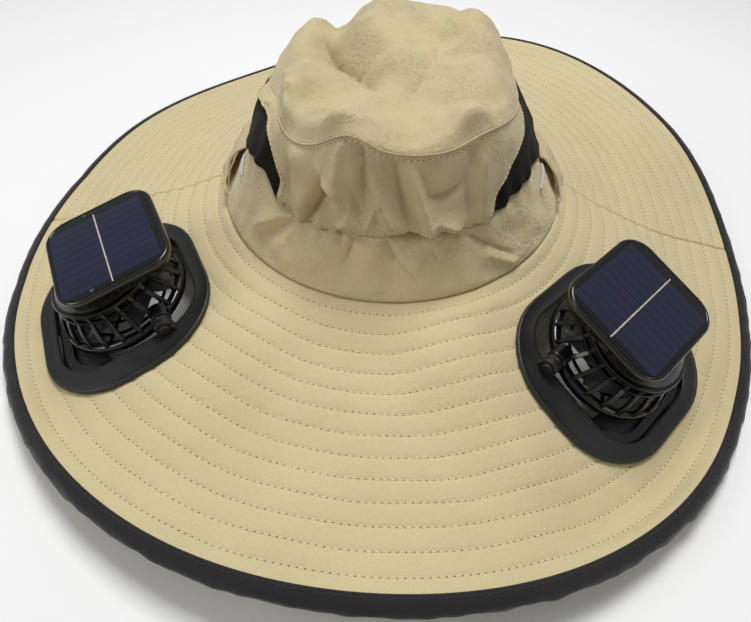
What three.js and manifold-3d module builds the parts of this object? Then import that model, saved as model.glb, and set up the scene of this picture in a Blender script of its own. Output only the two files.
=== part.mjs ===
// Solar fan hat: a wide cloth sun hat with a fan, a guard and a solar panel let into each side of its brim.
// Millimetres. The hat is drawn about the middle of the seam where the crown meets the brim:
// +X to the right of someone who looks at its front, +Y to its back, +Z up. At the end it is leaned a
// little, as it lies on a table on the low parts of its brim, and its origin goes to the floor below it.

import * as THREE from 'three';
import { mergeVertices } from 'three/addons/utils/BufferGeometryUtils.js';
import Module from 'manifold-3d';

const wasm = await Module();
wasm.setup();

// Crown seam, an oval on the brim
const BASE_HALF_WIDTH = 98;
const BASE_HALF_DEPTH = 105;

// Brim cloth, measured from the crown seam to the binding
const BRIM_REACH = 132;
const BRIM_CLOTH = 2.6;
const BRIM_HEM = 3;

// How far the brim falls below level, in degrees, at the crown seam and at its edge, by azimuth
const BRIM_FALL = [
  { azimuth: 0, inner: 37, outer: 11 },
  { azimuth: 30, inner: 23, outer: 3 },
  { azimuth: 60, inner: 14, outer: 0 },
  { azimuth: 90, inner: 18, outer: 5 },
  { azimuth: 120, inner: 24, outer: 11 },
  { azimuth: 150, inner: 24, outer: 11 },
  { azimuth: 180, inner: 26, outer: 13 },
  { azimuth: 210, inner: 21, outer: 9 },
  { azimuth: 240, inner: 19, outer: 0 },
  { azimuth: 270, inner: 22, outer: -6 },
  { azimuth: 300, inner: 26, outer: 6 },
  { azimuth: 330, inner: 35, outer: 15 },
];

// Binding rolled over the edge of the brim: its section, as shares of how far it stands out and hangs down
const BINDING_OUT = 6.4;
const BINDING_DROP = 6;
const BINDING_SECTION = [
  { out: 0, down: 0 },
  { out: 0.52, down: 0.08 },
  { out: 0.86, down: 0.32 },
  { out: 1, down: 0.7 },
  { out: 0.84, down: 1 },
  { out: 0.5, down: 0.86 },
  { out: 0, down: 0.5 },
];

// Crown: levels from the brim to the top seam, as shares of the crown seam's oval and of the crown's height
const CROWN_HEIGHT = 85;
const CROWN_CLOTH = 2;
const CROWN_LEVELS = [
  { width: 1, front: 1, back: 1, sideHeight: 0, frontHeight: 0, backHeight: 0 },
  { width: 0.816, front: 0.886, back: 0.886, sideHeight: 0.26, frontHeight: 0.38, backHeight: 0.33 },
  { width: 0.79, front: 0.85, back: 0.85, sideHeight: 0.45, frontHeight: 0.61, backHeight: 0.46 },
  { width: 0.715, front: 0.8, back: 0.81, sideHeight: 0.61, frontHeight: 0.85, backHeight: 0.59 },
];
const BASE_LEVEL = 0;
const GATHER_LEVEL = 1;
const TOP_LEVEL = 3;

// The gathers pucker the cloth above and below them
const PUCKER_DEPTH = 1.3;
const PUCKER_COUNT = 15;

// Crown top: rings from the top seam to the middle, as shares of the seam's radius and of its rise
const TOP_RINGS = [
  { reach: 1, rise: 0 },
  { reach: 0.92, rise: 0.28 },
  { reach: 0.82, rise: 0.62 },
  { reach: 0.66, rise: 0.88 },
  { reach: 0.36, rise: 1 },
];
const TOP_BACK_SLUMP = 0.6;

// Creases in the crown top: ends as shares of the crown seam's half width and half depth, depth and
// width as shares of the crown's height
const CREASES = [
  { fromX: -0.31, fromY: 0.36, toX: -0.08, toY: -0.38, depth: 0.16, width: 0.12 },
  { fromX: 0.34, fromY: 0.3, toX: 0.07, toY: -0.42, depth: 0.05, width: 0.11 },
  { fromX: -0.3, fromY: -0.66, toX: -0.14, toY: -0.64, depth: 0.06, width: 0.08 },
  { fromX: 0.35, fromY: -0.66, toX: 0.37, toY: -0.5, depth: 0.05, width: 0.08 },
];

// Mesh vents in the sides of the crown: azimuths of their edges at the gathers, half way and at the top seam
const VENT_EDGES = {
  leftFront: [227, 224, 212],
  leftBack: [135, 140, 150],
  rightFront: [309, 321, 332],
  rightBack: [45, 40, 30],
};

// Flap loops at the sides of the band. Heights are shares of the band, stands are shares of how far the
// loop stands off it, and the front mouth lies this many degrees forward of the side.
const LOOP_STAND = 4.6;
const LOOP_CLOTH = 1.2;
const LOOP_BACK_ANGLE = 10;
const LOOP_COLUMNS = 5;
const LOOP_ROWS = [
  { height: 0.2, stand: 0.04, front: 18 },
  { height: 0.34, stand: 0.6, front: 15 },
  { height: 0.52, stand: 1, front: 12 },
  { height: 0.74, stand: 1, front: 10 },
  { height: 0.9, stand: 0.7, front: 9 },
  { height: 0.98, stand: 0.04, front: 8 },
];

// Piping strip that comes out of the front mouth of each loop and runs down the band
const PIPING_WIDTH = 2.4;
const PIPING_ROUTE = [
  { height: 0.93, front: 16 },
  { height: 0.84, front: 19 },
  { height: 0.76, front: 22 },
  { height: 0.68, front: 25 },
];

// Fans: where each one sits, by azimuth and as a share of the brim's reach, which way round its front is,
// and how its bezel is tipped and twisted against the cloth below it, in degrees
const FANS = [
  { side: 'left', azimuth: 212, reachShare: 0.53, front: 1, tipForward: 0, tipOutward: 1.7, twist: -1.5 },
  { side: 'right', azimuth: 316, reachShare: 0.485, front: -1, tipForward: 3.6, tipOutward: 3.6, twist: -2.2 },
];

// Bezel on the brim and the clamp ring below it. Reach runs away from the crown, span runs round it.
const BEZEL_REACH = 93;
const BEZEL_SPAN = 109;
const BEZEL_CORNER = 39;
const BEZEL_PLATE = 2.2;
const BEZEL_LIP = 2.2;
const BEZEL_LIP_RISE = 1.3;
const OPENING_REACH = 76;
const OPENING_SPAN = 74;
const OPENING_CORNER = 21;
const COLLAR_WALL = 1.8;
const COLLAR_DEPTH = 5.6;
const CLAMP_WIDTH = 6;
const CLAMP_PLATE = 2;

// Fan guard, a cage of slanting bars between two rings, with the motor boss and a plain grille below
const CAGE_INWARD = 2;
const CAGE_RADIUS = 35;
const CAGE_SEAT = 0.5;
const CAGE_RING = 4.2;
const CAGE_RING_HEIGHT = 5;
const CAGE_TOP_RADIUS = 28;
const CAGE_HEIGHT = 23;
const CAGE_CAP = 1.8;
const CAGE_BAR = 2;
const CAGE_BARS = 16;
const GRILLE_BAR = 1.6;
const GRILLE_BARS = 6;
const GRILLE_HUB = 7;
const MOTOR_RADIUS = 9;
const MOTOR_DEPTH = 5;

// Rotor
const HUB_RADIUS = 8.5;
const HUB_HEIGHT = 7.5;
const BLADE_COUNT = 6;
const BLADE_TIP = 26;
const BLADE_CHORD = 13;
const BLADE_SHEET = 1.3;
const BLADE_PITCH = 28;

// Hinge on which the cage tilts: stub axles on the cage, lugs with a hole on the bezel
const HINGE_INWARD = 18;
const HINGE_RISE = 7;
const EAR_RADIUS = 5;
const EAR_REACH = 35.6;
const STUB_RADIUS = 1.8;
const LUG_WALL = 6;
const LUG_HALF_WIDTH = 4.6;

// Solar panel on a tapered housing
const PANEL_REACH = 58;
const PANEL_SPAN = 63.5;
const PANEL_CORNER = 13;
const PANEL_DEPTH = 8;
const PANEL_TOP = 37.5;
const PANEL_INWARD = 13.5;
const PANEL_LEAN_FORWARD = 2.4;
const PANEL_LEAN_INWARD = 3;
const PANEL_BORDER = 4.6;
const CELL_DEPTH = 0.8;
const CELL_SHEET = 0.6;
const HOUSING_FOOT = 26;
const HOUSING_INSET = 5;

// A stiff bezel holds the cloth flat under it, and the cloth eases back to its own form around it
const FLAT_MARGIN = 12;
const EASE_MARGIN = 60;
const FLAT_PAST_BEZEL = 4;

// How the hat lies on a table
const REST_PITCH = 1.5;
const REST_ROLL = -2.3;
const REST_FLATTEN = 2.6;
const REST_BLEND = 0.6;

// Clearance between pieces that touch
const GAP = 0.3;

// Facets
const BRIM_COLUMNS = 60;
const BRIM_STATIONS = [0, 0.1, 0.24, 0.41, 0.59, 0.76];
const CROWN_COLUMNS = 48;
const BAND_ROWS = 3;
const WALL_ROWS = 3;
const ROUND_FACETS = 20;
const PIN_FACETS = 8;
const CORNER_FACETS = 3;

const cloth = new THREE.MeshStandardMaterial({ color: 0xcbb98b, roughness: 0.9, metalness: 0 });
const bindingCloth = new THREE.MeshStandardMaterial({ color: 0x23221f, roughness: 0.85, metalness: 0 });
const ventMesh = new THREE.MeshStandardMaterial({ color: 0x1b1712, roughness: 0.9, metalness: 0 });
const piping = new THREE.MeshStandardMaterial({ color: 0xc9c9c4, roughness: 0.6, metalness: 0 });
const mattPlastic = new THREE.MeshStandardMaterial({ color: 0x35342f, roughness: 0.6, metalness: 0 });
const glossPlastic = new THREE.MeshStandardMaterial({ color: 0x121212, roughness: 0.25, metalness: 0 });
const bladePlastic = new THREE.MeshStandardMaterial({ color: 0x3b3b3b, roughness: 0.4, metalness: 0 });
const solarCell = new THREE.MeshStandardMaterial({ color: 0x22243a, roughness: 0.15, metalness: 0.2 });

const radians = THREE.MathUtils.degToRad;
const lerp = THREE.MathUtils.lerp;
const smoothstep = THREE.MathUtils.smoothstep;
const vector = (x, y, z) => new THREE.Vector3(x, y, z);

// Geometry helpers

function solidFrom(points, triangles) {
  let volume = 0;
  for (const [a, b, c] of triangles) {
    volume += points[a].dot(vector(0, 0, 0).crossVectors(points[b], points[c]));
  }
  const faces = volume < 0 ? triangles.map(([a, b, c]) => [a, c, b]) : triangles;
  const geometry = new THREE.BufferGeometry().setFromPoints(points);
  geometry.setIndex(faces.flat());
  return geometry;
}

// A closed sheet between two grids of points, given as rows of columns
function sheet(outer, inner, closedRound) {
  const rows = outer.length;
  const columns = outer[0].length;
  const points = [...outer.flat(), ...inner.flat()];
  const triangles = [];
  const at = (side, row, column) => side * rows * columns + row * columns + (column % columns);
  const quad = (a, b, c, d) => triangles.push([a, b, c], [a, c, d]);
  const lastColumn = closedRound ? columns : columns - 1;
  for (let column = 0; column < lastColumn; column += 1) {
    for (let row = 0; row < rows - 1; row += 1) {
      quad(at(0, row, column), at(0, row, column + 1), at(0, row + 1, column + 1), at(0, row + 1, column));
      quad(at(1, row, column), at(1, row + 1, column), at(1, row + 1, column + 1), at(1, row, column + 1));
    }
    quad(at(0, 0, column), at(1, 0, column), at(1, 0, column + 1), at(0, 0, column + 1));
    quad(at(0, rows - 1, column), at(0, rows - 1, column + 1), at(1, rows - 1, column + 1), at(1, rows - 1, column));
  }
  if (!closedRound) {
    for (let row = 0; row < rows - 1; row += 1) {
      quad(at(0, row, 0), at(0, row + 1, 0), at(1, row + 1, 0), at(1, row, 0));
      quad(at(0, row, columns - 1), at(1, row, columns - 1), at(1, row + 1, columns - 1), at(0, row + 1, columns - 1));
    }
  }
  return solidFrom(points, triangles);
}

// A closed body through loops of equal length: capped at both ends, or closed on itself
function loft(loops, closedOnItself) {
  const count = loops[0].length;
  const points = loops.flat();
  const triangles = [];
  const steps = closedOnItself ? loops.length : loops.length - 1;
  for (let step = 0; step < steps; step += 1) {
    const here = step * count;
    const next = ((step + 1) % loops.length) * count;
    for (let side = 0; side < count; side += 1) {
      const other = (side + 1) % count;
      triangles.push([here + side, here + other, next + other], [here + side, next + other, next + side]);
    }
  }
  if (!closedOnItself) {
    const last = (loops.length - 1) * count;
    for (let side = 1; side < count - 1; side += 1) {
      triangles.push([0, side + 1, side], [last, last + side, last + side + 1]);
    }
  }
  return solidFrom(points, triangles);
}

function toManifold(geometry) {
  const bare = new THREE.BufferGeometry();
  bare.setAttribute('position', geometry.getAttribute('position'));
  bare.setIndex(geometry.getIndex());
  const merged = mergeVertices(bare, 1e-4);
  return new wasm.Manifold(new wasm.Mesh({
    numProp: 3,
    vertProperties: new Float32Array(merged.getAttribute('position').array),
    triVerts: new Uint32Array(merged.getIndex().array),
  }));
}

function fromManifold(body) {
  const mesh = body.getMesh();
  const geometry = new THREE.BufferGeometry();
  geometry.setAttribute('position', new THREE.BufferAttribute(new Float32Array(mesh.vertProperties), 3));
  geometry.setIndex(new THREE.BufferAttribute(new Uint32Array(mesh.triVerts), 1));
  return geometry;
}

function join(pieces) {
  return fromManifold(pieces.map(toManifold).reduce((whole, piece) => whole.add(piece)));
}

function cut(piece, tools) {
  return fromManifold(tools.map(toManifold).reduce((whole, tool) => whole.subtract(tool), toManifold(piece)));
}

function roundedOutline(reach, span, corner) {
  const shape = new THREE.Shape();
  const halfReach = reach / 2 - corner;
  const halfSpan = span / 2 - corner;
  shape.absarc(halfReach, halfSpan, corner, 0, Math.PI / 2);
  shape.absarc(-halfReach, halfSpan, corner, Math.PI / 2, Math.PI);
  shape.absarc(-halfReach, -halfSpan, corner, Math.PI, Math.PI * 1.5);
  shape.absarc(halfReach, -halfSpan, corner, Math.PI * 1.5, Math.PI * 2);
  return shape;
}

function roundedPlate(outer, inner, bottom, top) {
  const shape = outer.clone();
  if (inner) {
    shape.holes.push(inner);
  }
  const options = { depth: top - bottom, bevelEnabled: false, curveSegments: CORNER_FACETS };
  return new THREE.ExtrudeGeometry(shape, options).translate(0, 0, bottom);
}

function cylinder(radius, bottom, top, facets = ROUND_FACETS) {
  const geometry = new THREE.CylinderGeometry(radius, radius, top - bottom, facets);
  return geometry.rotateX(Math.PI / 2).translate(0, 0, (top + bottom) / 2);
}

function ring(profile) {
  const points = profile.map(([radius, height]) => new THREE.Vector2(radius, height));
  return new THREE.LatheGeometry([...points, points[0]], ROUND_FACETS).rotateX(Math.PI / 2);
}

function box(fromX, toX, fromY, toY, fromZ, toZ) {
  const geometry = new THREE.BoxGeometry(toX - fromX, toY - fromY, toZ - fromZ);
  return geometry.translate((fromX + toX) / 2, (fromY + toY) / 2, (fromZ + toZ) / 2);
}

// Brim surface

function fallAt(column, azimuth) {
  const turns = azimuth / (2 * Math.PI);
  const place = (turns - Math.floor(turns)) * BRIM_FALL.length;
  const index = Math.floor(place);
  const share = place - index;
  const value = (step) => BRIM_FALL[(index + step + BRIM_FALL.length) % BRIM_FALL.length][column];
  const [before, here, next, after] = [value(-1), value(0), value(1), value(2)];
  const startSlope = (next - before) / 2;
  const endSlope = (after - here) / 2;
  const rise = next - here;
  const cubic = startSlope + endSlope - 2 * rise;
  const square = 3 * rise - 2 * startSlope - endSlope;
  return radians(here + share * (startSlope + share * (square + share * cubic)));
}

function ovalOutward(azimuth) {
  return vector(Math.cos(azimuth) / BASE_HALF_WIDTH, Math.sin(azimuth) / BASE_HALF_DEPTH, 0).normalize();
}

// The cloth's fall grows evenly from the seam to the edge, so Simpson's rule over three angles is enough
function freeBrimPoint(azimuth, along) {
  const start = vector(BASE_HALF_WIDTH * Math.cos(azimuth), BASE_HALF_DEPTH * Math.sin(azimuth), 0);
  const outward = ovalOutward(azimuth);
  if (along < 0) {
    return start.addScaledVector(outward, along);
  }
  const inner = fallAt('inner', azimuth);
  const end = lerp(inner, fallAt('outer', azimuth), along / BRIM_REACH);
  const middle = (inner + end) / 2;
  const reach = (along * (Math.cos(inner) + 4 * Math.cos(middle) + Math.cos(end))) / 6;
  const drop = (along * (Math.sin(inner) + 4 * Math.sin(middle) + Math.sin(end))) / 6;
  return start.addScaledVector(outward, reach).add(vector(0, 0, -drop));
}

function seatOf(fan) {
  const azimuth = radians(fan.azimuth);
  const along = fan.reachShare * BRIM_REACH;
  const step = 1;
  const turn = step / BRIM_REACH;
  const origin = freeBrimPoint(azimuth, along);
  const outward = freeBrimPoint(azimuth, along + step).sub(freeBrimPoint(azimuth, along - step)).normalize();
  const around = freeBrimPoint(azimuth + turn, along).sub(freeBrimPoint(azimuth - turn, along));
  const upright = vector(0, 0, 0).crossVectors(outward, around).normalize();
  const across = vector(0, 0, 0).crossVectors(upright, outward);
  const normal = upright.clone().addScaledVector(across, fan.front * Math.tan(radians(fan.tipForward)));
  normal.addScaledVector(outward, Math.tan(radians(fan.tipOutward))).normalize();
  const level = outward.clone().addScaledVector(normal, -outward.dot(normal)).normalize();
  const reachAxis = level.applyAxisAngle(normal, radians(fan.twist));
  const spanAxis = vector(0, 0, 0).crossVectors(normal, reachAxis);
  const matrix = new THREE.Matrix4().makeBasis(reachAxis, spanAxis, normal).setPosition(origin);
  return { matrix, inverse: matrix.clone().invert(), normal };
}

const seats = FANS.map(seatOf);

// The cloth is held flat to a little past the bezels, and eases at its edge and at the crown seam
const heldAlong = BRIM_REACH * Math.max(...FANS.map((fan) => fan.reachShare)) + BEZEL_REACH / 2 + FLAT_PAST_BEZEL;
const easeEnds = BRIM_REACH - heldAlong;

// Distance in a fan's plane from the outline of its bezel, negative inside
function outsideBezel(point) {
  const reach = Math.abs(point.x) - BEZEL_REACH / 2 + BEZEL_CORNER;
  const span = Math.abs(point.y) - BEZEL_SPAN / 2 + BEZEL_CORNER;
  const outside = Math.hypot(Math.max(reach, 0), Math.max(span, 0));
  return outside + Math.min(Math.max(reach, span), 0) - BEZEL_CORNER;
}

const restLean = new THREE.Euler(radians(REST_PITCH), radians(REST_ROLL), 0);
const restUp = vector(0, 0, 1).applyQuaternion(new THREE.Quaternion().setFromEuler(restLean).invert());

// The lowest parts of the edge lie flat on the table
let lowestEdge = Infinity;
for (let column = 0; column < BRIM_COLUMNS; column += 1) {
  const azimuth = (2 * Math.PI * column) / BRIM_COLUMNS;
  lowestEdge = Math.min(lowestEdge, freeBrimPoint(azimuth, BRIM_REACH).dot(restUp));
}

function brimPoint(azimuth, along) {
  const point = freeBrimPoint(azimuth, along);
  const edgeHeight = freeBrimPoint(azimuth, BRIM_REACH).dot(restUp);
  const lift = Math.max(0, lowestEdge + REST_FLATTEN - edgeHeight);
  point.z += lift * smoothstep(along / BRIM_REACH, REST_BLEND, 1);
  const ends = smoothstep(along, 0, easeEnds) * smoothstep(BRIM_REACH - along, 0, easeEnds);
  for (const seat of seats) {
    const local = point.clone().applyMatrix4(seat.inverse);
    const hold = ends * (1 - smoothstep(outsideBezel(local), FLAT_MARGIN, EASE_MARGIN));
    point.z -= (hold * local.z) / seat.normal.z;
  }
  return point;
}

function brimHalf(from, to) {
  const top = [];
  const bottom = [];
  const columns = BRIM_COLUMNS / 2;
  const seamTurn = GAP / 2 / (BASE_HALF_WIDTH + BRIM_REACH / 2);
  const stations = [-BRIM_HEM, ...BRIM_STATIONS.map((share) => share * BRIM_REACH), heldAlong, BRIM_REACH];
  for (const along of stations) {
    const topRow = [];
    for (let column = 0; column <= columns; column += 1) {
      const azimuth = lerp(from + seamTurn, to - seamTurn, column / columns);
      topRow.push(brimPoint(azimuth, along));
    }
    top.push(topRow);
    bottom.push(topRow.map((point) => point.clone().add(vector(0, 0, -BRIM_CLOTH))));
  }
  return sheet(top, bottom, false);
}

function fanHoleTools() {
  const reach = OPENING_REACH + 2 * (COLLAR_WALL + GAP);
  const span = OPENING_SPAN + 2 * (COLLAR_WALL + GAP);
  const outline = roundedOutline(reach, span, OPENING_CORNER + COLLAR_WALL + GAP);
  return seats.map((seat) => roundedPlate(outline, null, -BEZEL_SPAN / 4, BEZEL_SPAN / 4).applyMatrix4(seat.matrix));
}

function bindingLoop(azimuth) {
  const edge = brimPoint(azimuth, BRIM_REACH);
  const outward = ovalOutward(azimuth);
  return BINDING_SECTION.map(({ out, down }) => {
    const point = edge.clone().addScaledVector(outward, GAP + out * BINDING_OUT);
    return point.add(vector(0, 0, -down * BINDING_DROP));
  });
}

// Crown wall

function wallSection(azimuth, level) {
  const { width, front, back, sideHeight, frontHeight, backHeight } = CROWN_LEVELS[level];
  const forward = Math.sin(azimuth) < 0;
  const depth = BASE_HALF_DEPTH * (forward ? front : back);
  const height = lerp(sideHeight, forward ? frontHeight : backHeight, Math.sin(azimuth) ** 2);
  return vector(
    BASE_HALF_WIDTH * width * Math.cos(azimuth),
    depth * Math.sin(azimuth),
    CROWN_HEIGHT * height,
  );
}

function pucker(azimuth, share) {
  const ripple = Math.sin(PUCKER_COUNT * azimuth) + 0.6 * Math.sin(1.7 * PUCKER_COUNT * Math.sin(azimuth));
  return PUCKER_DEPTH * share * Math.sin(azimuth) ** 2 * ripple;
}

// A point in the cloth of the band, from the crown seam at 0 to the gathers at 1
function bandPoint(azimuth, share, inset) {
  const point = wallSection(azimuth, BASE_LEVEL).lerp(wallSection(azimuth, GATHER_LEVEL), share);
  return point.addScaledVector(ovalOutward(azimuth), pucker(azimuth, share * share) - inset);
}

// A point in the cloth of the wall, from the gathers at 0 to the top seam at 1
function wallPoint(azimuth, share, inset) {
  const low = wallSection(azimuth, GATHER_LEVEL);
  const middle = wallSection(azimuth, GATHER_LEVEL + 1);
  const high = wallSection(azimuth, TOP_LEVEL);
  const point = low.multiplyScalar((1 - share) * (1 - 2 * share));
  point.addScaledVector(middle, 4 * share * (1 - share)).addScaledVector(high, share * (2 * share - 1));
  return point.addScaledVector(ovalOutward(azimuth), pucker(azimuth, (1 - share) ** 2) - inset);
}

function crownBand() {
  const outer = [];
  const inner = [];
  for (let row = 0; row <= BAND_ROWS; row += 1) {
    const share = row / BAND_ROWS;
    const lift = vector(0, 0, lerp(GAP, -GAP / 2, share));
    const angles = Array.from({ length: CROWN_COLUMNS }, (_, column) => (2 * Math.PI * column) / CROWN_COLUMNS);
    outer.push(angles.map((azimuth) => bandPoint(azimuth, share, 0).add(lift)));
    inner.push(angles.map((azimuth) => bandPoint(azimuth, share, CROWN_CLOTH).add(lift)));
  }
  return sheet(outer, inner, true);
}

function edgeAngle(edge, share) {
  const [low, middle, high] = edge;
  const bend = 2 * (low + high) - 4 * middle;
  return radians(low + share * (4 * middle - 3 * low - high) + share * share * bend);
}

// A panel of the wall between two edges whose azimuth changes with height
function crownPanel(fromEdge, toEdge, turns) {
  const outer = [];
  const inner = [];
  const seamTurn = GAP / 2 / (BASE_HALF_WIDTH * CROWN_LEVELS[TOP_LEVEL].width);
  const span = edgeAngle(toEdge, 0) + turns * 2 * Math.PI - edgeAngle(fromEdge, 0);
  const columns = Math.max(4, Math.round((CROWN_COLUMNS * span) / (2 * Math.PI)));
  for (let row = 0; row <= WALL_ROWS; row += 1) {
    const share = row / WALL_ROWS;
    const from = edgeAngle(fromEdge, share) + seamTurn;
    const to = edgeAngle(toEdge, share) + turns * 2 * Math.PI - seamTurn;
    const lift = vector(0, 0, lerp(GAP / 2, -GAP / 2, share));
    const angles = Array.from({ length: columns + 1 }, (_, column) => lerp(from, to, column / columns));
    outer.push(angles.map((azimuth) => wallPoint(azimuth, share, 0).add(lift)));
    inner.push(angles.map((azimuth) => wallPoint(azimuth, share, CROWN_CLOTH).add(lift)));
  }
  return sheet(outer, inner, false);
}

function creaseDepth(x, y) {
  let depth = 0;
  for (const crease of CREASES) {
    const from = new THREE.Vector3(crease.fromX * BASE_HALF_WIDTH, crease.fromY * BASE_HALF_DEPTH, 0);
    const to = new THREE.Vector3(crease.toX * BASE_HALF_WIDTH, crease.toY * BASE_HALF_DEPTH, 0);
    const nearest = new THREE.Line3(from, to).closestPointToPoint(vector(x, y, 0), true, vector(0, 0, 0));
    const share = nearest.distanceTo(vector(x, y, 0)) / (crease.width * CROWN_HEIGHT);
    depth += crease.depth * CROWN_HEIGHT * Math.exp(-share * share);
  }
  return depth;
}

function topPoint(azimuth, reach, rise, inset) {
  const seam = wallPoint(azimuth, 1, inset);
  const x = seam.x * reach;
  const y = seam.y * reach;
  const slumped = rise ** (1 + TOP_BACK_SLUMP * Math.max(0, Math.sin(azimuth)));
  const z = lerp(seam.z, CROWN_HEIGHT - inset, slumped) - rise * creaseDepth(x, y);
  return vector(x, y, z + GAP / 2);
}

function crownTop() {
  const angles = Array.from({ length: CROWN_COLUMNS }, (_, column) => (2 * Math.PI * column) / CROWN_COLUMNS);
  const side = (inset) => TOP_RINGS.map(({ reach, rise }) => (
    angles.map((azimuth) => topPoint(azimuth, reach, rise, inset))
  ));
  const outer = side(0);
  const inner = side(CROWN_CLOTH);
  const loops = [...outer.reverse(), ...inner];
  return loft(loops, false);
}

// Flap loop at one side of the band, from its front mouth to its back mouth
function sideLoop(middle, frontward) {
  const outer = [];
  const inner = [];
  const to = middle - radians(LOOP_BACK_ANGLE) * frontward;
  for (const { height, stand, front } of LOOP_ROWS) {
    const from = middle + radians(front) * frontward;
    const angles = Array.from({ length: LOOP_COLUMNS + 1 }, (_, column) => lerp(from, to, column / LOOP_COLUMNS));
    const off = 2 * GAP + stand * LOOP_STAND;
    inner.push(angles.map((azimuth) => bandPoint(azimuth, height, -off)));
    outer.push(angles.map((azimuth) => bandPoint(azimuth, height, -off - LOOP_CLOTH)));
  }
  return sheet(outer, inner, false);
}

function pipingStrip(middle, frontward) {
  const turn = (PIPING_WIDTH / 2 / BASE_HALF_WIDTH) * frontward;
  const loops = PIPING_ROUTE.map(({ height, front }) => {
    const azimuth = middle + radians(front) * frontward;
    return [
      bandPoint(azimuth - turn, height, -2 * GAP),
      bandPoint(azimuth + turn, height, -2 * GAP),
      bandPoint(azimuth + turn / 2, height, -2 * GAP - PIPING_WIDTH * 0.6),
      bandPoint(azimuth - turn / 2, height, -2 * GAP - PIPING_WIDTH * 0.6),
    ];
  });
  return loft(loops, false);
}

// Fan, drawn in its own frame: x away from the crown, y round the crown, z up from the cloth

const bezelTop = GAP + BEZEL_PLATE;

function hingePlace(geometry) {
  return geometry.translate(-HINGE_INWARD, 0, HINGE_RISE);
}

// A cylinder along the hinge axis, between two distances from the middle
function hingeRod(radius, from, to, facets) {
  return hingePlace(cylinder(radius, from, to, facets).rotateX(-Math.PI / 2));
}

function bezel() {
  const outline = roundedOutline(BEZEL_REACH, BEZEL_SPAN, BEZEL_CORNER);
  const opening = roundedOutline(OPENING_REACH, OPENING_SPAN, OPENING_CORNER);
  const lipInner = roundedOutline(BEZEL_REACH - 2 * BEZEL_LIP, BEZEL_SPAN - 2 * BEZEL_LIP, BEZEL_CORNER - BEZEL_LIP);
  const collarReach = OPENING_REACH + 2 * COLLAR_WALL;
  const collarSpan = OPENING_SPAN + 2 * COLLAR_WALL;
  const collarOuter = roundedOutline(collarReach, collarSpan, OPENING_CORNER + COLLAR_WALL);
  const lugFrom = EAR_REACH + GAP;
  const pieces = [
    roundedPlate(outline, opening, GAP, bezelTop),
    roundedPlate(outline, lipInner, GAP, bezelTop + BEZEL_LIP_RISE),
    roundedPlate(collarOuter, opening, -COLLAR_DEPTH, GAP + BEZEL_PLATE / 2),
  ];
  const holes = [];
  for (const end of [-1, 1]) {
    const [from, to] = [lugFrom * end, (lugFrom + LUG_WALL) * end].sort((a, b) => a - b);
    const left = -HINGE_INWARD - LUG_HALF_WIDTH;
    const right = -HINGE_INWARD + LUG_HALF_WIDTH;
    pieces.push(box(left, right, from, to, GAP + BEZEL_PLATE / 2, HINGE_RISE));
    pieces.push(hingeRod(LUG_HALF_WIDTH, from, to, PIN_FACETS));
    holes.push(hingeRod(STUB_RADIUS + GAP, from - 1, to + 1, PIN_FACETS));
  }
  return cut(join(pieces), holes);
}

function clampRing() {
  const innerReach = OPENING_REACH + 2 * (COLLAR_WALL + GAP);
  const innerSpan = OPENING_SPAN + 2 * (COLLAR_WALL + GAP);
  const corner = OPENING_CORNER + COLLAR_WALL + GAP;
  const outer = roundedOutline(innerReach + 2 * CLAMP_WIDTH, innerSpan + 2 * CLAMP_WIDTH, corner + CLAMP_WIDTH);
  const inner = roundedOutline(innerReach, innerSpan, corner);
  const top = -BRIM_CLOTH - GAP;
  return roundedPlate(outer, inner, top - CLAMP_PLATE, top);
}

const cageBottom = CAGE_SEAT;
const cageTop = cageBottom + CAGE_HEIGHT;

function cageBar(angle) {
  const low = cageBottom + CAGE_RING_HEIGHT * 0.7;
  const high = cageTop - CAGE_CAP / 2;
  const lowRadius = CAGE_RADIUS - CAGE_RING / 2;
  const highRadius = CAGE_TOP_RADIUS - CAGE_BAR / 2;
  const length = Math.hypot(high - low, lowRadius - highRadius);
  const bar = new THREE.BoxGeometry(CAGE_BAR, CAGE_BAR, length);
  bar.rotateY(-Math.atan2(lowRadius - highRadius, high - low));
  return bar.translate((lowRadius + highRadius) / 2, 0, (low + high) / 2).rotateZ(angle);
}

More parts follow.
